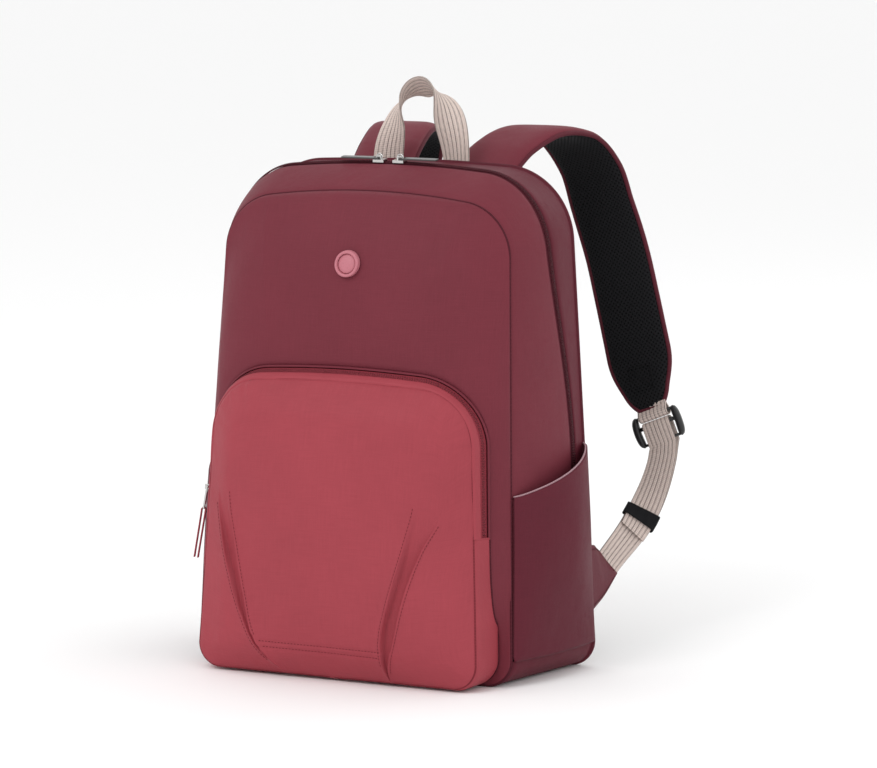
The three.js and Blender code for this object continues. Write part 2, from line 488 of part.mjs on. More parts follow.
// A slider in its own frame: X is the way its puller lies, Z stands off the zipper. It straddles the coil.
const BAIL = { from: -1.6, to: 2.6, wire: 1, base: 2, top: 5.2 };
function sliderBody(top = BAIL.top) {
  const { from, to, wire, base } = BAIL;
  return join([box(-5, 5, -3.9, 3.9, 0.9, 2.1), box(-5, 5, 3, 3.9, -0.2, 1), box(-5, 5, -3.9, -3, -0.2, 1),
    box(from, from + wire, -0.9, 0.9, base - 0.1, top), box(to - wire, to, -0.9, 0.9, base - 0.1, top),
    box(from, to, -0.9, 0.9, top - wire, top)]);
}
// A puller: a flat bar whose ringed end passes through the bail.
const PULLER = { end: -0.2, long: 36, wide: 6.4, thick: 1.2, lift: 3.1 };
function pullerBody(long = PULLER.long, slot = null, lift = PULLER.lift) {
  const holes = [[3.4 - long / 2 - PULLER.end, 0, 4.2, 3.3]];
  if (slot) holes.push([slot - long / 2, 0, 3, 4.4]);
  return plateWithSlots(long, PULLER.wide, PULLER.thick, holes, 1.4)
    .translate(long / 2 + PULLER.end, 0, lift);
}
function placed(geometry, origin, along, up) {
  const side = up.clone().cross(along);
  return geometry.applyMatrix4(new THREE.Matrix4().makeBasis(along, side, up).setPosition(origin));
}
function onMainZip(geometry, side) {
  let step = TOP;
  while (loopAt(backLoop, step).x < SLIDER_X) step -= 0.01;
  const at = bandPoint(step, zipY(step)), across = bandPoint(step, zipY(step) + 4).sub(bandPoint(step, zipY(step) - 4));
  const b = loopAt(backLoop, step), along = v3(b.nz, 0, -b.nx).normalize();
  const up = along.clone().cross(across).normalize();
  if (side < 0) for (const v of [at, up, along]) v.x *= -1;
  return placed(geometry, at, along, up);
}
addPair("main_slider", (side) => onMainZip(sliderBody(), side), METAL, 0.35, 1);
addPair("main_puller", (side) => onMainZip(pullerBody(), side), 0x6d6f75, 0.35, 1);

// The pocket's slider stands on the left-hand side of its zipper, and its puller hangs down.
const POCKET_SLIDER_Z = 152;
function onPocketZip(geometry) {
  const right = stepAtHeight(pocketLoop, POCKET_SLIDER_Z);
  const at = pocketPoint(right, POCKET_TAPE.coil), next = pocketPoint(right - 0.5, POCKET_TAPE.coil);
  const across = pocketPoint(right, POCKET_TAPE.coil + 0.1).sub(pocketPoint(right, POCKET_TAPE.coil - 0.1));
  const along = next.sub(at).normalize(), up = across.cross(along).normalize();
  for (const v of [at, along, up]) v.x *= -1;
  return placed(geometry, at, along, up);
}
// Its bail stands taller, and the puller hangs a few degrees clear of the cloth.
const POCKET_PULL = { top: 7, lift: 4.9, pivot: 0.5, hang: THREE.MathUtils.degToRad(6) };
const hung = (geometry) => onPocketZip(geometry.translate(-POCKET_PULL.pivot, 0, -POCKET_PULL.lift)
  .rotateY(-POCKET_PULL.hang).translate(POCKET_PULL.pivot, 0, POCKET_PULL.lift));
add("pocket_slider", onPocketZip(sliderBody(POCKET_PULL.top)), METAL, 0.35, 1);
add("pocket_puller_clip", hung(pullerBody(20, 17.6, POCKET_PULL.lift)), 0xc2c4c8, 0.3, 1);
// A moulded rubber loop goes round the clip's last bar.
function rubberLoop() {
  const round = [[62, -1.8], [26, -1.8], [21, -1.7], [17.8, -1.5], [17.2, 0], [17.8, 1.5], [21, 1.6], [26, 1.5], [62, 1.3]];
  return ribbon(curveFrames(round.map(([x, z]) => v3(x, 0, POCKET_PULL.lift + z)), v3(0, 1, 0), 25), 1.9, -0.5, 0.5);
}
add("pocket_puller_loop", hung(rubberLoop()), 0x8e1230);

export default bag;
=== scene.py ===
import bpy
import math
import numpy as np
from mathutils import Matrix, Vector
from mathutils.bvhtree import BVHTree


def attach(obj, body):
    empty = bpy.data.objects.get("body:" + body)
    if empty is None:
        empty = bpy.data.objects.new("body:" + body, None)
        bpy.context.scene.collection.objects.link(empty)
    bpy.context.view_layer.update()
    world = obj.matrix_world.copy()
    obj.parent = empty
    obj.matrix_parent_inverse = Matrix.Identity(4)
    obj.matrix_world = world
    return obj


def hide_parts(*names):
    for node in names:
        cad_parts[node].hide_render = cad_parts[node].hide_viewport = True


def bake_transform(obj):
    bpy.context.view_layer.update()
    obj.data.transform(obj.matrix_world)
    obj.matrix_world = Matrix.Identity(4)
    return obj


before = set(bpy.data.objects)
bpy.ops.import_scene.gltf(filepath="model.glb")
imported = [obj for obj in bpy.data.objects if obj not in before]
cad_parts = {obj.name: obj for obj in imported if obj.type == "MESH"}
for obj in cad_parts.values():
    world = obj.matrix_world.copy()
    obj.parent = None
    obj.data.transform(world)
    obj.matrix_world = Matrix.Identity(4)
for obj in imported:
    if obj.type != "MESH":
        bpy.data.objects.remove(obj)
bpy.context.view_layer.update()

rng = np.random.default_rng(7)

# ---------------------------------------------------------------- sizes, in millimetres, as in the CAD
ARCH = -270.0
FOOT = 22.0
BACK = dict(half=171.5, taper=0.062, top=426, corner=64, bottom=0, foot=FOOT, radius=1800)
FRONT = dict(half=147, taper=0.04, top=406, corner=48, bottom=0, foot=FOOT)
BACK_Y, FRONT_Y, LEAN = 70.0, -47.0, 0.07
CROWN, BULGE, TOP_BULGE = 36.0, 6.0, 12.0
ZIP = dict(topBack=46, endBack=20, tape=11, end=150)
POCKET = dict(half=135, taper=0.04, top=262, corner=62, bottom=3, foot=20, radius=900)
FACE = dict(half=131, taper=0.05, top=253, corner=50, bottom=2.5, foot=20, radius=900)
DEPTH, BOW, FACE_CROWN, POCKET_ZIP_END = 36.0, 14.0, 20.0, 126.0
COIL_AT, TAPE_FROM, TAPE_TO = 0.31, 0.08, 0.56
K = 8  # how many times finer the outlines are than the CAD's
STEPS = dict(bottom=3 * K, foot=4 * K, side=6 * K, corner=7 * K, arch=4 * K)
SIDE0 = STEPS["bottom"] + STEPS["foot"]
TOP = SIDE0 + STEPS["side"] + STEPS["corner"] + STEPS["arch"]
ROUND = 2 * TOP


def smooth(t):
    t = np.clip(t, 0, 1)
    return t * t * (3 - 2 * t)


def lerp(a, b, t):
    return a + (b - a) * t


def outline(o):
    """x, z, nx, nz of a closed loop that starts at the middle of the bottom and runs round the right-hand side."""
    taper, corner, foot = o["taper"], o["corner"], o["foot"]
    root, radius = math.hypot(1, taper), o.get("radius", o["top"] - ARCH)
    arch_z = o["top"] - radius
    q, reach = o["half"] - corner * root, radius - corner
    a, b, c = 1 + taper ** 2, -2 * (q * taper + arch_z), q * q + arch_z ** 2 - reach ** 2
    cz = (-b + math.sqrt(b * b - 4 * a * c)) / (2 * a)
    cx = q - taper * cz
    side, arch = math.atan2(taper, 1), math.atan2(cz - arch_z, cx)
    foot_z = o["bottom"] + foot
    foot_x = o["half"] - taper * foot_z - foot
    rows = []
    for i in range(STEPS["bottom"]):
        rows.append((foot_x * i / STEPS["bottom"], o["bottom"], -math.pi / 2))
    for i in range(STEPS["foot"]):
        t = -math.pi / 2 + i / STEPS["foot"] * math.pi / 2
        rows.append((foot_x + foot * math.cos(t), foot_z + foot * math.sin(t), t))
    side_top = cz + corner * math.sin(side)
    for i in range(STEPS["side"]):
        z = lerp(foot_z, side_top, i / STEPS["side"])
        rows.append((o["half"] - taper * z, z, side))
    for i in range(STEPS["corner"]):
        t = lerp(side, arch, i / STEPS["corner"])
        rows.append((cx + corner * math.cos(t), cz + corner * math.sin(t), t))
    for i in range(STEPS["arch"] + 1):
        t = lerp(arch, math.pi / 2, i / STEPS["arch"])
        rows.append((radius * math.cos(t), arch_z + radius * math.sin(t), t))
    r = np.array([(x, z, math.cos(t), math.sin(t)) for x, z, t in rows])
    r[0, 0] = r[-1, 0] = 0
    left = r[1:-1][::-1] * np.array([-1, 1, -1, 1])
    return np.vstack([r, left])


def loop_at(loop, step):
    s = np.mod(np.asarray(step, float), ROUND)
    i = np.floor(s).astype(int)
    t = (s - i)[..., None]
    return loop[i] * (1 - t) + loop[(i + 1) % ROUND] * t


def step_at_height(loop, z):
    i = SIDE0
    while loop[i + 1, 1] < z:
        i += 1
    return i + (z - loop[i, 1]) / (loop[i + 1, 1] - loop[i, 1])


back_loop, front_loop, pocket_loop, face_loop = (outline(o) for o in (BACK, FRONT, POCKET, FACE))


def swell(x, z, o, power):
    middle = (o["top"] + o["bottom"]) / 2
    across = np.abs(x / (o["half"] - o["taper"] * z)) ** 3
    along = np.abs((z - middle) / (middle - o["bottom"])) ** 5
    return np.clip(1 - across - along, 0, 1) ** power


def front_y(z):
    return FRONT_Y + LEAN * z


def panel_y(x, z):
    return front_y(z) - CROWN * swell(x, z, FRONT, 0.55)


def face_seam_y(x, z):
    return front_y(z) - DEPTH - BOW * (1 - (x / FACE["half"]) ** 2) * smooth((z - 40) / 180)


def band_point(step, y, lift=0.0):
    f, b = loop_at(front_loop, step), loop_at(back_loop, step)
    y0 = front_y(f[..., 1])
    share = (y - y0) / (BACK_Y - y0)
    even, top = 4 * share * (1 - share), np.maximum(0, b[..., 3]) ** 2
    ridged = np.where(share < 0.5, even, np.clip(2 - 2 * share, 0, None) ** 1.6)
    out = lerp(BULGE, TOP_BULGE, top) * lerp(even, ridged, top) * smooth((f[..., 1] - 4) / 30) + lift
    x = lerp(f[..., 0], b[..., 0], share) + b[..., 2] * out
    z = lerp(f[..., 1], b[..., 1], share) + b[..., 3] * out
    return np.stack([x, y + 0 * x, z], -1)


def zip_y(step):
    z = loop_at(back_loop, step)[..., 1]
    return BACK_Y - lerp(ZIP["endBack"], ZIP["topBack"], smooth((z - 190) / 215))


def pocket_point(step, share, lift=0.0):
    p, f = loop_at(pocket_loop, step), loop_at(face_loop, step)
    y0 = panel_y(p[..., 0], p[..., 1]) - 0.6
    y1 = face_seam_y(f[..., 0], f[..., 1]) + 2
    return np.stack([lerp(p[..., 0], f[..., 0], share) + f[..., 2] * lift, lerp(y0, y1, share),
                     lerp(p[..., 1], f[..., 1], share) + f[..., 3] * lift], -1)


# ---------------------------------------------------------------- value noise, the same on every run
NOISE = rng.random((64, 64, 64))


def noise3(p, scale):
    """Smooth noise from -1 to 1 over points in millimetres; scale is the size of its lumps."""
    q = np.asarray(p, float) / scale + 1000
    i = np.floor(q).astype(int)
    t = q - i
    t = t * t * (3 - 2 * t)
    out = 0
    for dx in (0, 1):
        for dy in (0, 1):
            for dz in (0, 1):
                w = ((t[..., 0] if dx else 1 - t[..., 0]) * (t[..., 1] if dy else 1 - t[..., 1])
                     * (t[..., 2] if dz else 1 - t[..., 2]))
                out = out + w * NOISE[(i[..., 0] + dx) % 64, (i[..., 1] + dy) % 64, (i[..., 2] + dz) % 64]
    return out * 2 - 1


# ---------------------------------------------------------------- materials
def new_material(name):
    m = bpy.data.materials.new(name)
    m.use_nodes = True
    return m, m.node_tree.nodes, m.node_tree.links, m.node_tree.nodes["Principled BSDF"]


def mapped(nodes, links, scale, uv=True):
    coords = nodes.new("ShaderNodeTexCoord")
    mapping = nodes.new("ShaderNodeMapping")
    mapping.inputs["Scale"].default_value = scale
    links.new(coords.outputs["UV" if uv else "Object"], mapping.inputs["Vector"])
    return mapping.outputs["Vector"]


def noise_node(nodes, links, vector, scale, detail=3.0, rough=0.55):
    n = nodes.new("ShaderNodeTexNoise")
    n.inputs["Scale"].default_value = scale
    n.inputs["Detail"].default_value = detail
    n.inputs["Roughness"].default_value = rough
    links.new(vector, n.inputs["Vector"])
    return n.outputs["Fac"]


def math_node(nodes, links, op, a, b=0.5):
    n = nodes.new("ShaderNodeMath")
    n.operation = op
    for k, v in ((0, a), (1, b)):
        if isinstance(v, (int, float)):
            n.inputs[k].default_value = v
        else:
            links.new(v, n.inputs[k])
    return n.outputs[0]


def ramp(nodes, links, fac, stops):
    n = nodes.new("ShaderNodeValToRGB")
    while len(n.color_ramp.elements) < len(stops):
        n.color_ramp.elements.new(0.5)
    for e, (p, c) in zip(n.color_ramp.elements, stops):
        e.position = p
        e.color = (*c, 1) if len(c) == 3 else c
    links.new(fac, n.inputs["Fac"])
    return n.outputs["Color"]


def wave(nodes, links, vector, scale, direction):
    n = nodes.new("ShaderNodeTexWave")
    n.wave_type = "BANDS"
    n.bands_direction = direction
    n.wave_profile = "SIN"
    n.inputs["Scale"].default_value = scale
    n.inputs["Distortion"].default_value = 0.0
    links.new(vector, n.inputs["Vector"])
    return n.outputs["Fac"]


def scaled(c, k):
    return tuple(min(1.0, v * k) for v in c)


def bump(nodes, links, bsdf, height, distance, strength=1.0, normal=None):
    n = nodes.new("ShaderNodeBump")
    n.inputs["Distance"].default_value = distance
    n.inputs["Strength"].default_value = strength
    links.new(height, n.inputs["Height"])
    if normal is not None:
        links.new(normal, n.inputs["Normal"])
    if bsdf is not None:
        links.new(n.outputs["Normal"], bsdf.inputs["Normal"])
    return n.outputs["Normal"]


def cloth(name, color, rough=0.52, sheen=0.35, slub=0.10, pitch=0.0007, wear=1.0):
    """Coated plain-weave cloth. UVs are in metres, so the weave keeps its size and follows each panel."""
    m, nodes, links, bsdf = new_material(name)
    uv = mapped(nodes, links, (1, 1, 1))
    across = noise_node(nodes, links, mapped(nodes, links, (45, 1500, 1)), 1.0, 2.0)
    along = noise_node(nodes, links, mapped(nodes, links, (1500, 45, 1)), 1.0, 2.0)
    slubs = math_node(nodes, links, "ADD", math_node(nodes, links, "MULTIPLY", across, 0.5),
                      math_node(nodes, links, "MULTIPLY", along, 0.5))
    broad = noise_node(nodes, links, uv, 9.0, 3.0)
    tone = math_node(nodes, links, "ADD", math_node(nodes, links, "MULTIPLY", slubs, 0.6),
                     math_node(nodes, links, "MULTIPLY", broad, 0.4))
    color_out = ramp(nodes, links, tone, [(0.28, scaled(color, 1 - slub * 1.5)), (0.5, color), (0.72, scaled(color, 1 + slub * 1.6))])
    links.new(color_out, bsdf.inputs["Base Color"])
    # wear: the cloth is a little rougher in fine scuffs
    scuff = ramp(nodes, links, noise_node(nodes, links, uv, 60.0, 6.0, 0.7),
                 [(0.0, (rough - 0.05,) * 3), (0.55, (rough,) * 3), (0.8, (min(1, rough + 0.14 * wear),) * 3)])
    links.new(scuff, bsdf.inputs["Roughness"])
    bsdf.inputs["Sheen Weight"].default_value = sheen * 0.4
    bsdf.inputs["Sheen Roughness"].default_value = 0.42
    bsdf.inputs["Sheen Tint"].default_value = (*scaled(color, 1.6), 1)
    bsdf.inputs["Specular IOR Level"].default_value = 0.12
    warp = wave(nodes, links, uv, 2 * math.pi / pitch / 20.0, "X")
    weft = wave(nodes, links, uv, 2 * math.pi / pitch / 20.0, "Y")
    weave = math_node(nodes, links, "MULTIPLY", warp, weft)
    height = math_node(nodes, links, "ADD", math_node(nodes, links, "MULTIPLY", weave, 0.5),
                       math_node(nodes, links, "MULTIPLY", slubs, 0.9))
    first = bump(nodes, links, None, height, 0.00012)
    crumple = noise_node(nodes, links, uv, 70.0, 4.0, 0.5)
    bump(nodes, links, bsdf, crumple, 0.0009, 0.55, first)
    return m


def webbing_material(name, color, rib=0.0):
    """Woven tape; rib is the pitch in metres of its lengthwise grooves, 0 for none; painted shade darkens the grooves.
    """
    m, nodes, links, bsdf = new_material(name)
    uv = mapped(nodes, links, (1, 1, 1))
    pick = wave(nodes, links, uv, 2 * math.pi / 0.0016 / 20, "Y")
    yarn = wave(nodes, links, uv, 2 * math.pi / 0.0017 / 20, "X")
    fuzz = noise_node(nodes, links, mapped(nodes, links, (900, 300, 1)), 1.0, 3.0)
    tone = math_node(nodes, links, "ADD", math_node(nodes, links, "MULTIPLY", pick, 0.25),
                     math_node(nodes, links, "ADD", math_node(nodes, links, "MULTIPLY", yarn, 0.2),
                               math_node(nodes, links, "MULTIPLY", fuzz, 0.55)))
    if rib:
        # painted shade: the colour is darkened along the grooves between the ribs
        groove_shade = math_node(nodes, links, "POWER", wave(nodes, links, uv, 2 * math.pi / rib / 20, "X"), 5.0)
        tone = math_node(nodes, links, "SUBTRACT", tone, math_node(nodes, links, "MULTIPLY", groove_shade, 0.45))
    links.new(ramp(nodes, links, tone, [(0.0, scaled(color, 0.32)), (0.28, scaled(color, 0.74)), (0.5, color),
                                        (0.8, scaled(color, 1.12))]), bsdf.inputs["Base Color"])
    bsdf.inputs["Roughness"].default_value = 0.82
    bsdf.inputs["Sheen Weight"].default_value = 0.05
    bsdf.inputs["Sheen Tint"].default_value = (*scaled(color, 1.6), 1)
    bsdf.inputs["Specular IOR Level"].default_value = 0.12
    bump(nodes, links, bsdf, tone, 0.0005)
    return m


MESH_ACROSS, MESH_ALONG = 4.0, 4.4  # the repeat of the mesh's holes, in millimetres


def mesh_material(name):
    """Black spacer mesh: rows of small holes, offset every other row; the holes are real openings and their dark colour
    is painted shade.
    """
    m, nodes, links, bsdf = new_material(name)
    uv = mapped(nodes, links, (1, 1, 1))
    rows = [math_node(nodes, links, "MULTIPLY_ADD", wave(nodes, links, uv, 2 * math.pi / (p * 0.001) / 20, d), -2.0)
            for p, d in ((MESH_ACROSS, "X"), (MESH_ALONG, "Y"))]
    for r in rows:
        r.node.inputs[2].default_value = 1.0
    lattice = math_node(nodes, links, "MULTIPLY", *rows)
    # painted shade: the colour is darkened in the holes
    hole_shade = ramp(nodes, links, math_node(nodes, links, "MULTIPLY", lattice, 1.0), [(0.22, (1, 1, 1)), (0.5, (0, 0, 0))])
    knit = noise_node(nodes, links, mapped(nodes, links, (2600, 1400, 1)), 1.0, 2.0)
    tone = math_node(nodes, links, "ADD", math_node(nodes, links, "MULTIPLY", hole_shade, 0.75),
                     math_node(nodes, links, "MULTIPLY", knit, 0.25))
    links.new(ramp(nodes, links, tone, [(0.1, (0.0015, 0.0015, 0.002)), (0.6, (0.0045, 0.0045, 0.005)),
                                        (1.0, (0.015, 0.015, 0.017))]), bsdf.inputs["Base Color"])
    bsdf.inputs["Roughness"].default_value = 0.85
    bsdf.inputs["Sheen Weight"].default_value = 0.02
    bsdf.inputs["Specular IOR Level"].default_value = 0.12
    bump(nodes, links, bsdf, tone, 0.0008)
    return m


def teeth(name, color, pitch):
    """A coil's teeth: painted shade darkens the gaps between them and a painted highlight lightens their crests."""
    m, nodes, links, bsdf = new_material(name)
    gap_shade_crest_highlight = wave(nodes, links, mapped(nodes, links, (1, 1, 1)), 2 * math.pi / pitch / 20, "Y")
    # painted shade in the gaps between the teeth and painted highlight on their crests
    links.new(ramp(nodes, links, gap_shade_crest_highlight, [(0.15, scaled(color, 0.22)), (0.55, color), (0.9, scaled(color, 1.7))]),
              bsdf.inputs["Base Color"])
    links.new(ramp(nodes, links, gap_shade_crest_highlight, [(0.2, (0.85,) * 3), (0.8, (0.5,) * 3)]), bsdf.inputs["Roughness"])
    bsdf.inputs["Specular IOR Level"].default_value = 0.12
    return m


def metal(name, color, rough):
    m, nodes, links, bsdf = new_material(name)
    obj = mapped(nodes, links, (1, 1, 1), uv=False)
    n = noise_node(nodes, links, obj, 900.0, 5.0, 0.7)
    links.new(ramp(nodes, links, n, [(0.3, scaled(color, 0.9)), (0.7, color)]), bsdf.inputs["Base Color"])
    links.new(ramp(nodes, links, n, [(0.35, (rough,) * 3), (0.75, (rough + 0.14,) * 3)]), bsdf.inputs["Roughness"])
    bsdf.inputs["Metallic"].default_value = 1.0
    return m


def moulded(name, color, rough, distance=0.00008, scale=1400.0):
    m, nodes, links, bsdf = new_material(name)
    obj = mapped(nodes, links, (1, 1, 1), uv=False)
    n = noise_node(nodes, links, obj, scale, 3.0)
    links.new(ramp(nodes, links, n, [(0.3, scaled(color, 0.9)), (0.7, scaled(color, 1.08))]), bsdf.inputs["Base Color"])
    links.new(ramp(nodes, links, noise_node(nodes, links, obj, 120.0, 4.0), [(0.3, (rough,) * 3), (0.8, (rough + 0.12,) * 3)]),
              bsdf.inputs["Roughness"])
    bump(nodes, links, bsdf, n, distance)
    return m


TOOTH = 0.0021  # pitch of a zipper's teeth, in metres
BURGUNDY, DEEP, CORAL = (0.158, 0.027, 0.040), (0.112, 0.017, 0.028), (0.330, 0.052, 0.068)
M = {
    "burgundy": cloth("burgundy_cloth", BURGUNDY, sheen=0.12),
    "deep": cloth("deep_cloth", DEEP, sheen=0.12),
    "side": cloth("side_pocket_cloth", (0.104, 0.015, 0.026), sheen=0.1),
    "coral": cloth("coral_cloth", CORAL, rough=0.5, sheen=0.15),
    "tape": cloth("zipper_tape_cloth", (0.080, 0.013, 0.021), rough=0.75, sheen=0.05, pitch=0.0011),
    "pocket_tape": cloth("pocket_tape_cloth", (0.24, 0.032, 0.046), rough=0.7, sheen=0.08, pitch=0.0011),
    "coil": teeth("zipper_coil_nylon", (0.062, 0.010, 0.016), TOOTH),
    "pocket_coil": teeth("pocket_coil_nylon", (0.170, 0.028, 0.038), TOOTH),
    "webbing": webbing_material("ribbed_webbing", (0.67, 0.56, 0.51), rib=2 * 13.5 / 7 * 0.001),
    "mesh": mesh_material("spacer_mesh"),
    "elastic": webbing_material("black_elastic", (0.012, 0.012, 0.013)),
    "binding": webbing_material("pale_binding", (0.42, 0.26, 0.29)),
    "edge": cloth("strap_edge_binding", (0.10, 0.018, 0.028), rough=0.6, pitch=0.001, sheen=0.08),
    "thread": webbing_material("burgundy_thread", (0.080, 0.014, 0.022)),
    "coral_thread": webbing_material("coral_thread", (0.20, 0.028, 0.038)),
    "black_thread": webbing_material("black_thread", (0.015, 0.015, 0.016)),
    "rubber": moulded("badge_rubber", (0.47, 0.150, 0.185), 0.45, 0.00005),
    "metal": metal("polished_nickel", (0.56, 0.55, 0.54), 0.16),
    "dark_metal": metal("dark_nickel", (0.085, 0.08, 0.08), 0.2),
    "plastic": moulded("black_nylon", (0.010, 0.010, 0.011), 0.36),
    "pull": moulded("pull_rubber", (0.26, 0.008, 0.026), 0.45),
    "lining": cloth("grey_lining", (0.05, 0.05, 0.055)),
    "board": moulded("board_plastic", (0.04, 0.04, 0.042), 0.5),
    "foam": moulded("grey_foam", (0.03, 0.03, 0.03), 0.9, 0.0004, 700.0),
}


# ---------------------------------------------------------------- mesh makers
def make_object(name, verts, faces, uvs, material, body, nodes=(), flat=False):
    """verts in millimetres; uvs in metres, one per vertex."""
    mesh = bpy.data.meshes.new(name)
    mesh.from_pydata((np.asarray(verts) * 0.001).tolist(), [], [list(map(int, f)) for f in faces])
    if uvs is not None:
        layer = mesh.uv_layers.new(name="UVMap")
        loops = np.empty(len(mesh.loops), np.int32)
        mesh.loops.foreach_get("vertex_index", loops)
        layer.data.foreach_set("uv", np.asarray(uvs, np.float32)[loops].ravel())
    mesh.polygons.foreach_set("use_smooth", [not flat] * len(mesh.polygons))
    mesh.materials.append(M[material])
    mesh.update()
    obj = bpy.data.objects.new(name, mesh)
    bpy.context.scene.collection.objects.link(obj)
    if body:
        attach(obj, body)
    if nodes:
        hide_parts(*nodes)
    return obj


def grid_faces(rows, cols, cyclic=False, base=0):
    r, c = np.meshgrid(np.arange(rows - 1), np.arange(cols if cyclic else cols - 1), indexing="ij")
    a = base + r * cols + c
    b = base + r * cols + (c + 1) % cols
    return np.stack([a, b, b + cols, a + cols], -1).reshape(-1, 4)


def lengths(points):
    """Distance along each row of a grid of points, in metres."""
    step = np.linalg.norm(np.diff(points, axis=-2), axis=-1)
    return np.concatenate([np.zeros(step.shape[:-1] + (1,)), np.cumsum(step, -1)], -1) * 0.001


def grid_uv(points):
    """UVs in metres: along the columns, and down the rows at the middle column."""
    u = lengths(points)
    u = u - u[:, u.shape[1] // 2][:, None]
    v = lengths(np.swapaxes(points, 0, 1))
    return np.stack([u, np.swapaxes(v, 0, 1)], -1)


def sheet_object(name, points, material, body, nodes=(), uv=None, thick=0.0, flip=False):
    """A grid of points, rows by columns, as a smooth surface; thick in millimetres goes inwards."""
    rows, cols = points.shape[:2]
    faces = grid_faces(rows, cols)
    if flip:
        faces = faces[:, ::-1]
    uv = grid_uv(points) if uv is None else uv
    obj = make_object(name, points.reshape(-1, 3), faces, uv.reshape(-1, 2), material, body, nodes)
    if thick:
        s = obj.modifiers.new("thickness", "SOLIDIFY")
        s.thickness = thick * 0.001
        s.offset = -1
    return obj


def normals_of(points):
    du = np.gradient(points, axis=1)
    dv = np.gradient(points, axis=0)
    n = np.cross(du, dv)
    return n / np.maximum(np.linalg.norm(n, axis=-1, keepdims=True), 1e-9)


def tube_object(name, path, radius, material, body, sides=8, nodes=(), cyclic=False, squash=1.0):
    path = np.asarray(path, float)
    tangent = np.gradient(path, axis=0)
    if cyclic:
        tangent = np.roll(path, -1, 0) - np.roll(path, 1, 0)
    tangent /= np.linalg.norm(tangent, axis=1, keepdims=True)
    ref = np.array([0.31, 0.83, 0.47])
    rings = []
    for p, t in zip(path, tangent):
        a = ref - t * (ref @ t)
        a /= np.linalg.norm(a)
        ref = a
        b = np.cross(t, a)
        ang = np.arange(sides) * 2 * math.pi / sides
        rings.append(p + radius * (np.cos(ang)[:, None] * a + squash * np.sin(ang)[:, None] * b))
    rings = np.array(rings)
    n = len(path)
    faces = grid_faces(n, sides, cyclic=True)
    verts = rings.reshape(-1, 3)
    uv = np.stack([np.tile(np.arange(sides) / sides * 2 * math.pi * radius * 0.001, n),
                   np.repeat(np.linspace(0, 1, n) * np.linalg.norm(np.diff(path, axis=0), axis=1).sum() * 0.001, sides)], -1)
    faces = [tuple(f) for f in faces]
    if cyclic:
        last = (n - 1) * sides
        faces += [(last + i, last + (i + 1) % sides, (i + 1) % sides, i) for i in range(sides)]
    else:
        faces += [tuple(range(sides))[::-1], tuple(range((n - 1) * sides, n * sides))]
    return make_object(name, verts, faces, uv, material, body, nodes)


def stitches(name, paths, material, body, pitch=3.2, long=2.2, radius=0.32):
    """Rows of separate stitches: each is a small pointed rod that dips into the cloth at both ends.
    paths is a list of (points, normals)."""
    verts, faces = [], []
    for points, normals in paths:
        points = np.asarray(points, float)
        d = np.concatenate([[0], np.cumsum(np.linalg.norm(np.diff(points, axis=0), axis=1))])
        normals = np.broadcast_to(np.asarray(normals, float), points.shape)
        at = lambda s, src: np.array([np.interp(s, d, src[:, k]) for k in range(3)])
        s = pitch / 2
        while s < d[-1] - pitch / 2:
            a, b, m = at(s - long / 2, points), at(s + long / 2, points), at(s, points)
            n = at(s, normals)
            n /= np.linalg.norm(n)
            t = b - a
            t /= np.linalg.norm(t)
            side = np.cross(t, n)
            base = len(verts)
            for p, r, h in ((a, 0.4, -0.1), (lerp(a, m, 0.45), 1.0, 0.55), (lerp(b, m, 0.45), 1.0, 0.55), (b, 0.4, -0.1)):
                for k in range(6):
                    ang = k * math.pi / 3
                    verts.append(p + n * (h * radius) + radius * r * (math.cos(ang) * side + math.sin(ang) * n))
            for ring in range(3):
                for k in range(6):
                    a0 = base + ring * 6 + k
                    a1 = base + ring * 6 + (k + 1) % 6
                    faces.append((a0, a1, a1 + 6, a0 + 6))
            faces.append(tuple(base + k for k in range(5, -1, -1)))
            faces.append(tuple(base + 18 + k for k in range(6)))
            s += pitch
    return make_object(name, verts, faces, np.zeros((len(verts), 2)), material, body)


# ---------------------------------------------------------------- main body
def shrink(loop, o, scale):
    middle = (o["top"] + o["bottom"]) / 2
    return loop[:, 0] * scale, middle + (loop[:, 1] - middle) * scale


def ring_surface(name, rings, centre, material, body, nodes, thick=1.4):
    """Rings of equal length (outermost first) closed at a centre point, faces towards the outside."""
    rings = np.array(rings)
    count, n = rings.shape[:2]
    verts = np.vstack([rings.reshape(-1, 3), [centre]])
    faces = [tuple(f) for f in grid_faces(count, n, cyclic=True)]
    last = (count - 1) * n
    faces += [(last + i, last + (i + 1) % n, count * n) for i in range(n)]
    uv = np.stack([verts[:, 0], verts[:, 2]], -1) * 0.001
    obj = make_object(name, verts, faces, uv, material, body, nodes)
    s = obj.modifiers.new("thickness", "SOLIDIFY")
    s.thickness = thick * 0.001
    s.offset = -1
    return obj


def wrinkles(x, z, size, edge, amount):
    """Soft wrinkles that run in from the seams and die out; edge is 0 at a seam and 1 inside."""
    p = np.stack([x, 0 * x + 11, z], -1)
    big = noise3(p * np.array([1, 1, 0.55]), size)
    small = noise3(p * np.array([1, 1, 1.6]) + 37, size * 0.42)
    return amount * (big * 0.7 + small * 0.35 * (1 - edge))


def eased(grid, passes):
    """A grid of depths softened inside its first and last rows; the columns run round in a ring."""
    for _ in range(passes):
        grid[1:-1] = (grid[:-2] + 2 * grid[1:-1] + grid[2:]) / 4
        grid[1:-1] = (np.roll(grid, 1, 1) + 2 * grid + np.roll(grid, -1, 1))[1:-1] / 4
    return grid


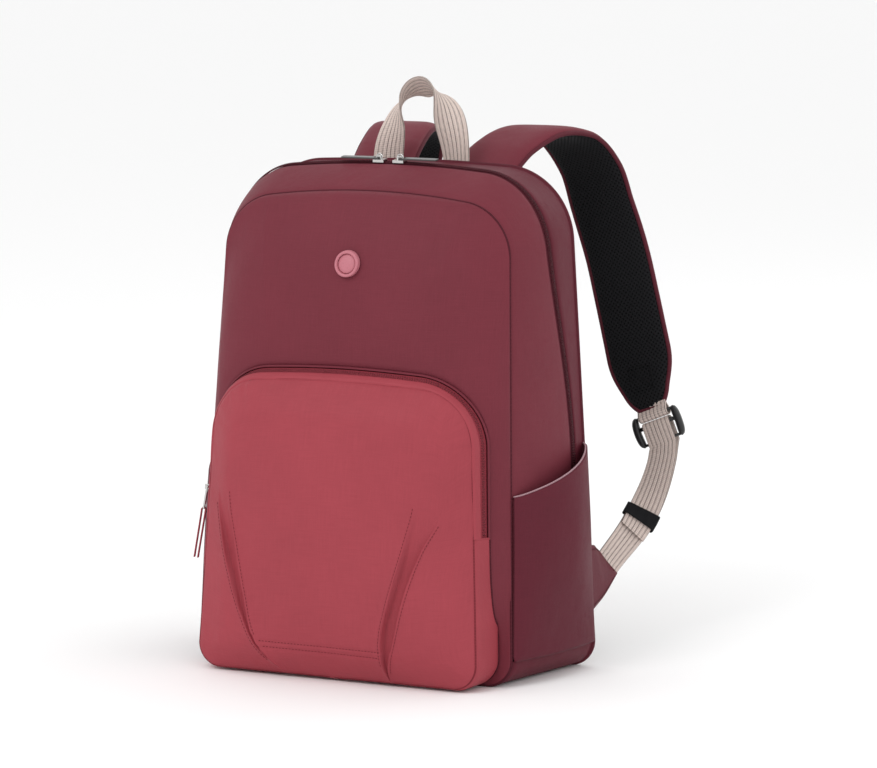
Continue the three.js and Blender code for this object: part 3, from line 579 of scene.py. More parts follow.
def front_panel():
    ts = np.concatenate([[0, 0.004, 0.015, 0.035], np.linspace(0.07, 1, 26)])[:, None]
    x = lerp(front_loop[None, :, 0], pocket_loop[None, :, 0], ts)
    z = lerp(front_loop[None, :, 1], pocket_loop[None, :, 1], ts)
    crown = eased(panel_y(x, z) - front_y(z), 40)
    crown[0] = 1.5
    y = front_y(z) + crown - wrinkles(x, z, 58, smooth(ts * 3), 1.6) * smooth(ts * 6) * (1 - smooth((ts - 0.85) / 0.15))
    rings = list(np.stack([x, y, z], -1))
    for s in (0.93, 0.6):
        x, z = shrink(pocket_loop, POCKET, s)
        rings.append(np.stack([x, front_y(z) - 4, z], -1))
    return ring_surface("front_panel_cloth", rings, (0, front_y(132) - 4, 132), "burgundy", "bag", ["front_panel"])


def steps_between(a, b, every=1.0):
    inner = np.arange(math.ceil(a + 0.01), b - 0.01, every)
    return np.concatenate([[a], inner, [b]])


def band_surface(name, steps, y_from, y_to, cols, lift, material, nodes, thick=1.4, ease=True, tuck=1.2, ripple=0.8):
    t = np.linspace(0, 1, cols)
    if ease:
        t = 0.5 - 0.5 * np.cos(math.pi * t)
    s = np.repeat(steps[:, None], cols, 1)
    y = lerp(y_from(s), y_to(s), t[None, :])
    edge = 4 * t * (1 - t)
    rise = lift + tuck * (np.clip(edge * 3.2, 0, 1) ** 0.5 - 1)
    points = band_point(s, y, rise[None, :])
    n = normals_of(points)
    points = points + n * (ripple * noise3(points * np.array([1, 0.6, 1]), 46) * edge[None, :])[..., None] * -1
    return sheet_object(name, points, material, "bag", nodes, thick=thick, flip=False)


zip_from = step_at_height(back_loop, ZIP["end"])
zip_steps = steps_between(zip_from, ROUND - zip_from)
band_steps = steps_between(SIDE0 + 0.2, ROUND - SIDE0 - 0.2)
seam_front = lambda s: front_y(loop_at(front_loop, s)[..., 1]) + 1.5
front_panel()
band_surface("front_gusset_cloth", band_steps, seam_front, lambda s: zip_y(s) - 4.2, 22, 0, "burgundy", ["front_gusset"])
band_surface("rear_gusset_cloth", band_steps, lambda s: zip_y(s) + 4.2, lambda s: 0 * s + BACK_Y - 0.5, 14, 0, "deep",
             ["rear_gusset"])
band_surface("main_tape_front_cloth", zip_steps, lambda s: zip_y(s) - 7, lambda s: zip_y(s) - 0.2, 4, -1.1, "tape",
             ["main_zipper_tape_front"], 0.5, False, 0, 0)
band_surface("main_tape_rear_cloth", zip_steps, lambda s: zip_y(s) + 0.2, lambda s: zip_y(s) + 7, 4, -1.1, "tape",
             ["main_zipper_tape_rear"], 0.5, False, 0, 0)


def coil_object(name, centre, across, up, material, nodes, width=4.6, height=1.6, pitch=TOOTH * 1000):
    """The zipper's teeth: a row of small ridges across its line. centre, across and up are arrays along it."""
    d = np.concatenate([[0], np.cumsum(np.linalg.norm(np.diff(centre, axis=0), axis=1))])
    count = int(d[-1] / pitch)
    s = (np.arange(count * 4) + 0.5) * pitch / 4
    pick = lambda a: np.stack([np.interp(s, d, a[:, k]) for k in range(3)], -1)
    c, a, u = pick(centre), pick(across), pick(up)
    a /= np.linalg.norm(a, axis=1, keepdims=True)
    u /= np.linalg.norm(u, axis=1, keepdims=True)
    tall = np.tile([0.25, 1.0, 1.0, 0.25], count)[:, None] * height
    t = np.linspace(-1, 1, 7)
    profile = np.sqrt(np.clip(1 - t ** 2, 0, 1))
    profile[3] *= 0.55
    points = (c[:, None] + a[:, None] * (t * width / 2)[None, :, None]
              + u[:, None] * (profile[None, :] * tall)[..., None])
    obj = sheet_object(name, points, material, "bag", nodes)
    return obj


def main_coil():
    s = zip_steps
    centre = band_point(s, zip_y(s), -0.8)
    across = band_point(s, zip_y(s) + 3) - band_point(s, zip_y(s) - 3)
    tangent = np.gradient(centre, axis=0)
    up = np.cross(tangent, across)
    up *= np.sign((up * np.stack([back_loop[np.mod(s.astype(int), ROUND), 2], 0 * s, back_loop[np.mod(s.astype(int), ROUND), 3]], -1)).sum(1))[:, None]
    coil_object("main_zipper_teeth", centre, across, up, "coil", ["main_zipper_coil"])


main_coil()


def seam_cord(name, path, radius, material, body="bag"):
    return tube_object(name, path, radius, material, body, sides=8)


# rolled seam allowance between the front panel and the band, and at the back
s = steps_between(0, ROUND - 0.001)
f = loop_at(front_loop, s)
seam_cord("front_seam_roll", np.stack([f[:, 0] + f[:, 2] * -0.6, front_y(f[:, 1]) + 0.9, f[:, 1] + f[:, 3] * -0.6], -1)[::2][:-1], 1.3, "thread")
b = loop_at(back_loop, s)
seam_cord("back_seam_roll", np.stack([b[:, 0] + b[:, 2] * -0.4, 0 * b[:, 0] + BACK_Y + 0.2, b[:, 1] + b[:, 3] * -0.4], -1)[::2][:-1], 1.7, "edge")


def base_surface():
    s = steps_between(0.02 - SIDE0, SIDE0 - 0.02)
    t = np.linspace(0, 1, 18)
    ss = np.repeat(s[:, None], len(t), 1)
    y = lerp(seam_front(ss), BACK_Y - 0.5, t[None, :])
    edge = 4 * t * (1 - t)
    points = band_point(ss, y, (0.6 * (np.clip(edge * 4, 0, 1) - 1))[None, :])
    points[..., 2] = np.maximum(points[..., 2], 0.0)
    return sheet_object("base_cloth", points, "deep", "bag", ["base_panel"], thick=1.4)


base_surface()

# the seam between the band and the base: a thin ridge on each side
for side, word in ((1, "right"), (-1, "left")):
    st = (SIDE0 if side > 0 else ROUND - SIDE0)
    y = np.linspace(-42, BACK_Y - 1, 40)
    seam_cord(f"base_seam_{word}", band_point(np.full(40, float(st)), y, -0.3), 0.8, "thread")

# ---------------------------------------------------------------- front pocket
def interp_path(points, z):
    """x of a line given as (z, x) pairs from the bottom up, smooth through its points."""
    zs, xs = np.array(points, float).T
    m = np.gradient(xs, zs)
    i = np.clip(np.searchsorted(zs, z) - 1, 0, len(zs) - 2)
    h = zs[i + 1] - zs[i]
    t = (z - zs[i]) / h
    t2, t3 = t * t, t * t * t
    return ((2 * t3 - 3 * t2 + 1) * xs[i] + (t3 - 2 * t2 + t) * h * m[i]
            + (-2 * t3 + 3 * t2) * xs[i + 1] + (t3 - t2) * h * m[i + 1])


# The tucks: each side has an outer and an inner fold line with a sunken channel between them.
TUCKS = {
    "left_outer": [(2, -44), (11, -53), (23, -64), (51, -80), (88, -94), (117, -102), (150, -108), (200, -104), (256, -86)],
    "left_inner": [(2, -43.4), (11, -52.4), (33, -68), (70, -79), (109, -87.5), (157, -96), (205, -88), (256, -70)],
    "right_inner": [(2, 53), (19, 51), (43, 51.5), (72, 58), (121, 73), (156, 82), (205, 82), (256, 68)],
    "right_outer": [(2, 53.6), (12, 54), (34, 60), (83, 73), (117, 86), (144, 100), (200, 102), (256, 86)],
}
TUCK_TOP = {"left": 160, "right": 156}


def pocket_face_grid():
    rows = 170
    loop = face_loop
    corner = SIDE0 + STEPS["side"] + STEPS["corner"] // 2
    foot = STEPS["bottom"] + STEPS["foot"] // 2
    v = np.linspace(0, 1, rows)
    left = loop_at(loop, ROUND - lerp(foot, corner, v))[:, :2]
    right = loop_at(loop, lerp(foot, corner, v))[:, :2]
    # even steps in height along both sides
    z_even = lerp(right[0, 1], right[-1, 1], v)
    left = np.stack([np.interp(z_even, left[:, 1], left[:, 0]), z_even], -1)
    right = np.stack([np.interp(z_even, right[:, 1], right[:, 0]), z_even], -1)
    names = ["left_outer", "left_inner", "right_inner", "right_outer"]
    lines = [left] + [np.stack([interp_path(TUCKS[k], z_even), z_even], -1) for k in names] + [right]
    counts = [26, 9, 74, 9, 26]
    cols, marks = [], [0]
    for i, n in enumerate(counts):
        t = np.linspace(0, 1, n + 1)[:-1]
        t = t + 0.12 * np.sin(2 * math.pi * t) * -1 / (2 * math.pi) * (4 if n > 20 else 0)
        for k in t:
            cols.append(lerp(lines[i], lines[i + 1], k))
        marks.append(marks[-1] + n)
    cols.append(lines[-1])
    p = np.stack(cols, 1)
    n = p.shape[1]
    # the top and bottom rows follow the outline; the rows near them ease towards it
    width = (p[-1, :, 0] - p[-1, 0, 0]) / (p[-1, -1, 0] - p[-1, 0, 0])
    top_steps = np.linspace(ROUND - corner, corner, 400)
    top_curve = loop_at(loop, top_steps)[:, :2]
    share = (top_curve[:, 0] - top_curve[0, 0]) / (top_curve[-1, 0] - top_curve[0, 0])
    want_top = np.stack([np.interp(width, share, top_curve[:, 0]), np.interp(width, share, top_curve[:, 1])], -1)
    p += (want_top - p[-1])[None] * (v ** 3)[:, None, None]
    width = (p[0, :, 0] - p[0, 0, 0]) / (p[0, -1, 0] - p[0, 0, 0])
    low_steps = np.linspace(-foot, foot, 400)
    low_curve = loop_at(loop, low_steps)[:, :2]
    share = (low_curve[:, 0] - low_curve[0, 0]) / (low_curve[-1, 0] - low_curve[0, 0])
    want_low = np.stack([np.interp(width, share, low_curve[:, 0]), np.interp(width, share, low_curve[:, 1])], -1)
    p += (want_low - p[0])[None] * ((1 - v) ** 6)[:, None, None]
    return p, marks


def face_depth(x, z):
    """How deep the tucks press the pocket's face in, in millimetres: a narrow channel between two thin ridges."""
    lo, li = interp_path(TUCKS["left_outer"], z), interp_path(TUCKS["left_inner"], z)
    ri, ro = interp_path(TUCKS["right_inner"], z), interp_path(TUCKS["right_outer"], z)
    depth = np.zeros_like(x)
    for outer, inner, top, sign in ((lo, li, TUCK_TOP["left"], 1), (ro, ri, TUCK_TOP["right"], -1)):
        a, b = sign * (x - outer), sign * (inner - x)
        fade = smooth((top - z) / 60) * smooth((z + 6) / 22)
        wide = np.maximum(sign * (inner - outer), 0.1)
        sunk = 4.0 * smooth(wide / 9) + 0.5
        depth += sunk * smooth((a + 0.3) / 1.5) * smooth((b + 0.3) / 1.5) * fade
        for k, high, reach in ((a, 2.0, 3.6), (b, 2.4, 4.2)):
            depth -= high * fade * np.exp(-np.clip(-k, 0, None) / reach) * (1 - smooth(k / 0.8))
    return depth


def edge_distance(p):
    """Distance in the face's plane from each grid point to the outline."""
    loop = loop_at(face_loop, np.linspace(0, ROUND, 500))[:, :2]
    flat = p.reshape(-1, 2)
    best, where = np.full(len(flat), 1e9), np.zeros(len(flat))
    for k in range(len(loop) - 1):
        a, d = loop[k], loop[k + 1] - loop[k]
        t = np.clip(((flat - a) @ d) / max(d @ d, 1e-9), 0, 1)
        dist = np.linalg.norm(flat - a - t[:, None] * d, axis=1)
        where = np.where(dist < best, k + t, where)
        best = np.minimum(best, dist)
    return best.reshape(p.shape[:2]), where.reshape(p.shape[:2])


def pocket_face():
    p, _ = pocket_face_grid()
    x, z = p[..., 0], p[..., 1]
    dist, where = edge_distance(p)
    middle = (FACE["top"] + FACE["bottom"]) / 2
    full = (1 - np.clip(np.abs(x / (FACE["half"] - FACE["taper"] * z)), 0, 1) ** 3) * (
        1 - np.clip(np.abs((z - middle) / (middle - FACE["bottom"])), 0, 1) ** 5)
    rise = np.sin(math.pi / 2 * np.clip(dist / 30, 0, 1)) ** 0.7
    y = face_seam_y(x, z) - FACE_CROWN * full ** 0.6 * rise + face_depth(x, z)
    # gathers radiate from the seam where the cloth goes round the upper corners
    along = where / 500 * 900
    pull = noise3(np.stack([along / 1.0, 0 * along, dist * 0.12], -1), 11) * 0.75 + noise3(
        np.stack([along, 0 * along + 50, dist * 0.2], -1), 5) * 0.4
    gather = smooth((z - 120) / 90) * 0.9 + 0.3
    y = y - pull * gather * np.exp(-dist / 13) * smooth(dist / 2.5)
    # the cloth turns in over the seam
    y = y + 2.0 * np.exp(-dist / 1.6)
    soft = noise3(np.stack([x, 0 * x, z * 0.6], -1), 62) * 1.5 + noise3(np.stack([x, 0 * x + 90, z * 0.5], -1), 26) * 0.5
    y = y - soft * smooth(dist / 20)
    # the double row of stitching draws the middle in a little
    for row in (31.0, 26.0):
        inside = smooth((x + 66) / 4) * smooth((54 - x) / 4)
        y = y + 0.7 * np.exp(-((z - row) / 1.3) ** 2) * inside
    points = np.stack([x, y, z], -1)
    return sheet_object("pocket_face_cloth", points, "coral", "bag", ["pocket_face"], thick=1.2,
                        flip=False), points


pocket_obj, pocket_points = pocket_face()


def pocket_surface(name, steps, share_from, share_to, cols, lift, material, nodes, thick=1.2, puff=0.0, wrinkle=0.0,
                   ease=True):
    t = np.linspace(0, 1, cols)
    if ease:
        t = 0.5 - 0.5 * np.cos(math.pi * t)
    ss = np.repeat(steps[:, None], cols, 1)
    edge = np.clip(4 * t * (1 - t) * 2.2, 0, 1) ** 0.5
    points = pocket_point(ss, lerp(share_from, share_to, t)[None, :] + 0 * ss, (lift + puff * (edge - 1))[None, :])
    if wrinkle:
        n = normals_of(points)
        points = points - n * (wrinkle * noise3(points * np.array([1, 0.5, 1]), 24) * edge[None, :])[..., None]
    return sheet_object(name, points, material, "bag", nodes, thick=thick)


pz_from = step_at_height(pocket_loop, POCKET_ZIP_END)
upper = steps_between(pz_from, ROUND - pz_from, 0.5)
lower = steps_between(0.02 - pz_from, pz_from - 0.02, 0.5)
pocket_surface("pocket_gusset_cloth", upper, TAPE_TO + 0.015, 1, 12, 0.2, "coral", ["pocket_gusset"],
               puff=1.7, wrinkle=0.35)
pocket_surface("pocket_back_strip_cloth", upper, 0, TAPE_FROM, 4, 0.2, "burgundy", ["pocket_back_strip"],
               puff=0.4)
pocket_surface("pocket_tape_cloth", upper, TAPE_FROM - 0.01, TAPE_TO + 0.03, 10, -1.0, "pocket_tape",
               ["pocket_zipper_tape"], thick=0.5, ease=False)
pocket_surface("pocket_lower_gusset_cloth", lower, 0, 1, 26, 0.2, "coral", ["pocket_lower_gusset"],
               puff=1.8, wrinkle=0.8)
centre = pocket_point(upper, COIL_AT, -0.9)
across = pocket_point(upper, COIL_AT + 0.1) - pocket_point(upper, COIL_AT - 0.1)
loop_n = loop_at(face_loop, upper)
up = np.cross(np.gradient(centre, axis=0), across)
up *= np.sign(up[:, 0] * loop_n[:, 2] + up[:, 2] * loop_n[:, 3])[:, None]
coil_object("pocket_zipper_teeth", centre, across, up, "pocket_coil", ["pocket_zipper_coil"], width=4.6, height=1.5)

# where each end of the tape is caught under a stitched fold
for side, word in ((1, "right"), (-1, "left")):
    st = pz_from if side > 0 else ROUND - pz_from
    share = np.linspace(0.01, 0.985, 24)
    line = pocket_point(np.full(24, st), share, 0.35)
    seam_cord(f"tape_end_fold_{word}", line, 1.0, "coral")
    n = np.stack([side * np.ones(24), 0 * share, 0 * share], -1)
    stitches(f"tape_end_stitches_{word}", [(line + np.array([side * 0.5, 0, -3.0]), n)], "coral_thread", "bag")

# piping where the pocket meets the panel, and the seam round its face
s = steps_between(0, ROUND - 0.001, 1)
line = pocket_point(s, 1.0, -0.7)
seam_cord("pocket_face_seam", line[:-1], 1.1, "coral_thread")
line = pocket_point(s, 0.0, 0.2)
seam_cord("pocket_back_seam", line[:-1], 1.0, "thread")


pocket_tree = BVHTree.FromPolygons(pocket_points.reshape(-1, 3).tolist(), grid_faces(*pocket_points.shape[:2]).tolist())


def on_face(points, lift=0.35):
    """(x, z) points put on the pocket's face, with the normals there."""
    hits = [pocket_tree.ray_cast((x, -300, z), (0, 1, 0))[:2] for x, z in points]
    at = np.array([h for h, _ in hits if h])
    n = np.array([m * (-1 if m.y > 0 else 1) for h, m in hits if h])
    return at + n * lift, n


def line_xz(a, b, count=60):
    return [(lerp(a[0], b[0], t), lerp(a[1], b[1], t)) for t in np.linspace(0, 1, count)]


rows = [on_face(line_xz((-64, 31.5), (50, 30.5)), -0.2), on_face(line_xz((-60.5, 26.7), (50, 25.3)), -0.2)]
stitches("pocket_double_stitching", rows, "coral_thread", "bag", pitch=3.0, long=2.1, radius=0.34)
rows = []
for name, offset, low, high in (("left_outer", -2.2, 14, 146), ("left_inner", 2.2, 36, 156),
                                ("right_inner", -2.2, 18, 154), ("right_outer", 2.2, 12, 142)):
    z = np.linspace(low, high, 90)
    rows.append(on_face(np.stack([interp_path(TUCKS[name], z) + offset, z], -1), 0.0))
stitches("tuck_stitching", rows, "coral_thread", "bag", pitch=3.0, long=2.1, radius=0.26)

# ---------------------------------------------------------------- side pockets
SIDE_BOTTOM, SIDE_FRONT, SIDE_BACK, SIDE_BULGE = 24.0, 158.0, 191.0, 12.0


def side_point(side, share, rise, extra=0.0):
    top = lerp(SIDE_FRONT, SIDE_BACK, share ** 1.05)
    z = lerp(SIDE_BOTTOM - 2, top, rise)
    f, b = FRONT["half"] - FRONT["taper"] * z, BACK["half"] - BACK["taper"] * z
    y = lerp(front_y(z) + 2.2, BACK_Y - 1.2, share)
    s = (y - front_y(z)) / (BACK_Y - front_y(z))
    out = (BULGE + SIDE_BULGE * (1 if side > 0 else 0.35) * smooth(rise * 1.4)) * 4 * s * (1 - s) + 0.9 + 1.6 + extra
    return np.stack([side * (lerp(f, b, s) + out), y, z], -1)


def side_pocket(side, word):
    rows, cols = 90, 60
    rise, share = np.meshgrid(np.linspace(0, 1, rows), 0.5 - 0.5 * np.cos(math.pi * np.linspace(0, 1, cols)), indexing="ij")
    # the seams pull in at the bottom and at both sides; wrinkles fan out of the two upper ends
    edge = np.minimum(np.minimum(share, 1 - share) * 95, rise * 150)
    tuck = -2.2 * np.exp(-edge / 2.2)
    p = side_point(side, share, rise)
    q = np.stack([0 * share, share * 110, rise * 150], -1)
    fold = noise3(q * np.array([1, 1, 0.35]) + 400 * (side > 0), 34) * 1.3 + noise3(q * np.array([1, 1, 0.5]) + 71, 15) * 0.45
    low = noise3(q * np.array([1, 1.4, 0.6]) + 17, 12) * 1.0 * np.exp(-rise * 150 / 22)
    extra = tuck + (fold + low) * smooth(edge / 14) * (1 - 0.6 * smooth((rise - 0.93) / 0.07))
    p = side_point(side, share, rise, extra)
    obj = sheet_object(f"side_pocket_cloth_{word}", p, "side", "bag", [f"side_pocket_{word}"], thick=1.2,
                       flip=side > 0)
    top = p[-1] + np.array([-side * 0.6, 0, 0.3])
    tube_object(f"side_binding_{word}", top, 0.8, "binding", "bag", sides=8, nodes=[f"side_pocket_binding_{word}"])
    s = np.linspace(0.015, 0.985, 50)
    seam_cord(f"side_pocket_front_seam_{word}", side_point(side, 0 * s, s, -2.3), 0.9, "thread")
    seam_cord(f"side_pocket_low_seam_{word}", side_point(side, s, 0 * s, -2.6), 0.9, "thread")
    return obj


for side, word in ((1, "right"), (-1, "left")):
    side_pocket(side, word)

# ---------------------------------------------------------------- back of the bag
PAD = dict(half=122, taper=0.06, top=380, corner=40, bottom=40, foot=30, radius=900)
YOKE = dict(half=78, taper=0, top=405, corner=8, bottom=383, foot=8, radius=700)


def back_panel():
    rings = []
    for s in (1, 0.985, 0.95, 0.9, 0.82, 0.7, 0.5, 0.3, 0.12):
        x, z = shrink(back_loop, BACK, s)
        y = BACK_Y - 0.6 + 1.4 * smooth((1 - s) / 0.05) - 0.8 * smooth((0.9 - s) / 0.1)
        rings.append(np.stack([x, y + 0 * x, z], -1)[::-1])
    return ring_surface("back_panel_cloth", rings, (0, BACK_Y, 215), "deep", "bag", ["back_panel"])


def outline_distance(o, x, z):
    """Roughly how far inside an outline each point is."""
    half = o["half"] - o["taper"] * z
    dx = half - np.abs(x)
    dz = np.minimum(z - o["bottom"], o["top"] - x ** 2 / (2 * o.get("radius", 700)) - z)
    k = 10.0
    return -np.log(np.exp(-dx / k) + np.exp(-dz / k)) * k


def back_pad_mesh():
    """A quilted pad: rings from the edge inwards, crowned, with two upright channels and three level ones."""
    loop = outline(PAD)
    scales = np.concatenate([[1.0, 0.992, 0.975, 0.95], np.linspace(0.92, 0.02, 46)])
    rings = []
    for k, s in enumerate(scales):
        x, z = shrink(loop, PAD, s)
        h = 1.6 + 8.6 * (1 - np.exp(-np.clip((1 - s) * 120, 0, None) / 9)) if k else 0.4 + 0 * x
        x_line = np.minimum(np.abs(x - 34), np.abs(x + 34))
        z_line = np.minimum(np.minimum(np.abs(z - 130), np.abs(z - 212)), np.abs(z - 294))
        dip = 5.2 * np.exp(-(x_line / 4.2) ** 2) + 4.0 * np.exp(-(z_line / 4.0) ** 2) * (np.abs(x) > 34)
        h = h - dip * smooth((1 - s) * 9)
        rings.append(np.stack([x, BACK_Y + np.maximum(h, 0.4), z], -1)[::-1])
    obj = ring_surface("back_pad_mesh", rings, (0, BACK_Y + 9.6, 210), "mesh", "bag", ["back_pad"], thick=0.6)
    edge = np.array([(x, BACK_Y + 1.6, z) for x, z in loop[:, :2]])
    seam_cord("back_pad_edge", edge, 1.7, "elastic")
    return obj


back_panel()
back_pad_mesh()


def strap_yoke():
    loop = outline(YOKE)
    rings = []
    for s in (1, 0.97, 0.92, 0.8, 0.5):
        x, z = shrink(loop, YOKE, s)
        rings.append(np.stack([x, BACK_Y + 0.6 + 2.1 * smooth((1 - s) / 0.04) + 0 * x, z], -1)[::-1])
    ring_surface("strap_yoke_cloth", rings, (0, BACK_Y + 2.7, 394), "deep", "bag", ["strap_yoke"])
    rows = []
    for s in (0.93, 0.8):
        x, z = shrink(loop, YOKE, s)
        rows.append((np.stack([x, BACK_Y + 3.0 + 0 * x, z], -1), np.array([0, 1.0, 0])))
    stitches("yoke_stitching", rows, "thread", "bag")


strap_yoke()

# what lies inside the bag
for name, material in (("back_foam", "foam"), ("laptop_sleeve", "lining"), ("base_board", "board")):
    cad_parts[name].data.materials.clear()
    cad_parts[name].data.materials.append(M[material])

# ---------------------------------------------------------------- badge: a plain domed disc in a rim
BADGE_Z = 348.0


def badge():
    base = float(panel_y(np.array(0.0), np.array(BADGE_Z))) - 1.6
    tilt = (panel_y(np.array(0.0), np.array(BADGE_Z + 8)) - panel_y(np.array(0.0), np.array(BADGE_Z - 8))) / 16
    for name, node, profile, slot in (
            ("badge_rim_rubber", "badge_rim", [(8.3, -1.5), (8.3, 1.6), (8.6, 2.2), (9.2, 2.6), (9.9, 2.6), (10.6, 2.2),
                                               (11.0, 1.4), (11.2, -1.5)], "badge"),
            ("badge_disc_rubber", "badge_disc", [(8.0, -1.5), (8.0, 0.5), (7.6, 1.0), (6.6, 1.35), (4.5, 1.8), (2.2, 2.05),
                                                 (0.4, 2.1)], "badge")):
        n = 64
        ang = np.arange(n) * 2 * math.pi / n
        rings = [np.stack([r * np.cos(ang), base - h + tilt * r * np.sin(ang), BADGE_Z + r * np.sin(ang)], -1)
                 for r, h in profile]
        verts = np.vstack(rings)
        faces = [tuple(f) for f in grid_faces(len(profile), n, cyclic=True)]
        if "disc" in name:
            faces.append(tuple(range((len(profile) - 1) * n, len(profile) * n)))
        make_object(name, verts, faces, None, "rubber", "bag", [node])


badge()


# ---------------------------------------------------------------- curves and ribbons
def catmull(points, closed=False):
    """Centripetal Catmull-Rom through the points, 60 samples to each span and the last point."""
    p = np.array(points, float)
    p = np.vstack([2 * p[0] - p[1], p, 2 * p[-1] - p[-2]])
    out = []
    for i in range(1, len(p) - 2):
        p0, p1, p2, p3 = p[i - 1], p[i], p[i + 1], p[i + 2]
        d0, d1, d2 = (max(np.linalg.norm(b - a) ** 0.5, 1e-4) for a, b in ((p0, p1), (p1, p2), (p2, p3)))
        t1 = ((p1 - p0) / d0 - (p2 - p0) / (d0 + d1) + (p2 - p1) / d1) * d1
        t2 = ((p2 - p1) / d1 - (p3 - p1) / (d1 + d2) + (p3 - p2) / d2) * d1
        t = np.linspace(0, 1, 60, endpoint=False)[:, None]
        out.append(p1 + t1 * t + (-3 * p1 + 3 * p2 - 2 * t1 - t2) * t ** 2 + (2 * p1 - 2 * p2 + t1 + t2) * t ** 3)
    out.append(p[-2:-1])
    return np.vstack(out)


def frames_along(points, sideways, count):
    fine = catmull(points)
    d = np.concatenate([[0], np.cumsum(np.linalg.norm(np.diff(fine, axis=0), axis=1))])
    s = np.linspace(0, d[-1], count)
    p = np.stack([np.interp(s, d, fine[:, k]) for k in range(3)], -1)
    t = np.gradient(p, axis=0)
    t /= np.linalg.norm(t, axis=1, keepdims=True)
    u = np.linspace(0, 1, count)
    want = np.array([sideways(k) for k in u]) if callable(sideways) else np.tile(np.array(sideways, float), (count, 1))
    w = want - t * (want * t).sum(1, keepdims=True)
    w /= np.linalg.norm(w, axis=1, keepdims=True)
    return p, w, np.cross(w, t), u


def strip_grid(p, w, n, half, depth, cols=15):
    """Rows along the frames, columns across; half may vary along, depth is a function of (u row, s across -1..1)."""
    s = np.linspace(-1, 1, cols)
    half = np.broadcast_to(np.asarray(half, float), (len(p),))
    d = depth(np.linspace(0, 1, len(p))[:, None], s[None, :]) if callable(depth) else np.full((len(p), cols), float(depth))
    return p[:, None] + w[:, None] * (half[:, None] * s)[..., None] + n[:, None] * d[..., None]


def closed_strip(name, top, bottom, material, body, nodes=()):
    """A flat closed strip between two grids, joined round the rim."""
    rows, cols = top.shape[:2]
    ring = np.concatenate([top, bottom[:, ::-1]], 1)
    count = 2 * cols
    faces = [tuple(f) for f in grid_faces(rows, count, cyclic=True)]
    faces.append(tuple(range(count)))
    faces.append(tuple(range((rows - 1) * count, rows * count))[::-1])
    uv = grid_uv(top)
    uv = np.concatenate([uv, uv[:, ::-1]], 1)
    return make_object(name, ring.reshape(-1, 3), faces, uv.reshape(-1, 2), material, body, nodes)


def webbing_strip(name, p, w, n, half, thick, material, body, nodes=(), rib=0.28, ribs=7, cols=57):
    """Ribbed webbing: real ridges along it, rounded edges."""
    def side(sign):
        def depth(u, s):
            ridge = rib * np.abs(np.cos(np.pi * s * ribs / 2 + (0 if ribs % 2 else np.pi / 2))) ** 0.7
            round_off = np.sqrt(np.clip(1 - np.clip((np.abs(s) - 0.93) / 0.07, 0, 1) ** 2, 0.03, 1))
            return sign * (thick / 2 * round_off + ridge * round_off) + 0 * u
        return depth
    top = strip_grid(p, w, n, half, side(1), cols)
    bottom = strip_grid(p, w, n, half, side(-1), cols)
    return closed_strip(name, top, bottom, material, body, nodes)


# ---------------------------------------------------------------- grab handle
HANDLE = dict(x=2.5, y=BACK_Y + 11.5, z=416.0, leg=-10.0, top=134.0, late=2.2)
HANDLE_PATH = [(-33, 0), (-31.5, 18), (-27, 36), (-22, 52), (-11, 67), (2.5, 72), (13, 68.5), (20.5, 59), (27.5, 39),
               (31.5, 20), (33, 0)]


def handle():
    """The webbing turns over along its arch, so that its flat side faces up at the top."""
    p, _, _, u = frames_along([(HANDLE["x"] + x, HANDLE["y"], HANDLE["z"] + z) for x, z in HANDLE_PATH], (0, 1, 0), 161)
    t = np.gradient(p, axis=0)
    t /= np.linalg.norm(t, axis=1, keepdims=True)
    turn = np.radians(lerp(HANDLE["leg"], HANDLE["top"], ((1 - np.hypot(2 * u - 1, 0.12)).clip(0) / 0.88) ** HANDLE["late"]))[:, None]
    w = np.stack([-t[:, 2], 0 * u, t[:, 0]], -1) * np.cos(turn) + np.array([0, 1.0, 0]) * np.sin(turn)
    webbing_strip("handle_webbing_ribbed", p, w, np.cross(w, t), 13.5, 1.5, "webbing", "handle", ["handle_webbing"])


handle()

# ---------------------------------------------------------------- shoulder straps
STRAP_PATH = [(51, 86, 408), (60, 124, 434), (73, 162, 446), (87, 200, 438), (99, 222, 412), (107, 231, 378),
              (120, 233, 337), (131, 231, 297), (142, 227, 258), (153, 221, 222), (160, 218, 202)]
LEFT_INWARD = [8, 12, 18, 21, 19, 13, 7, 2, 0, 0, 0]
STRAP_HALF = 29.0


def strap_half(u):
    return STRAP_HALF * (1 - 0.42 * smooth((u - 0.86) / 0.14) ** 1.5)


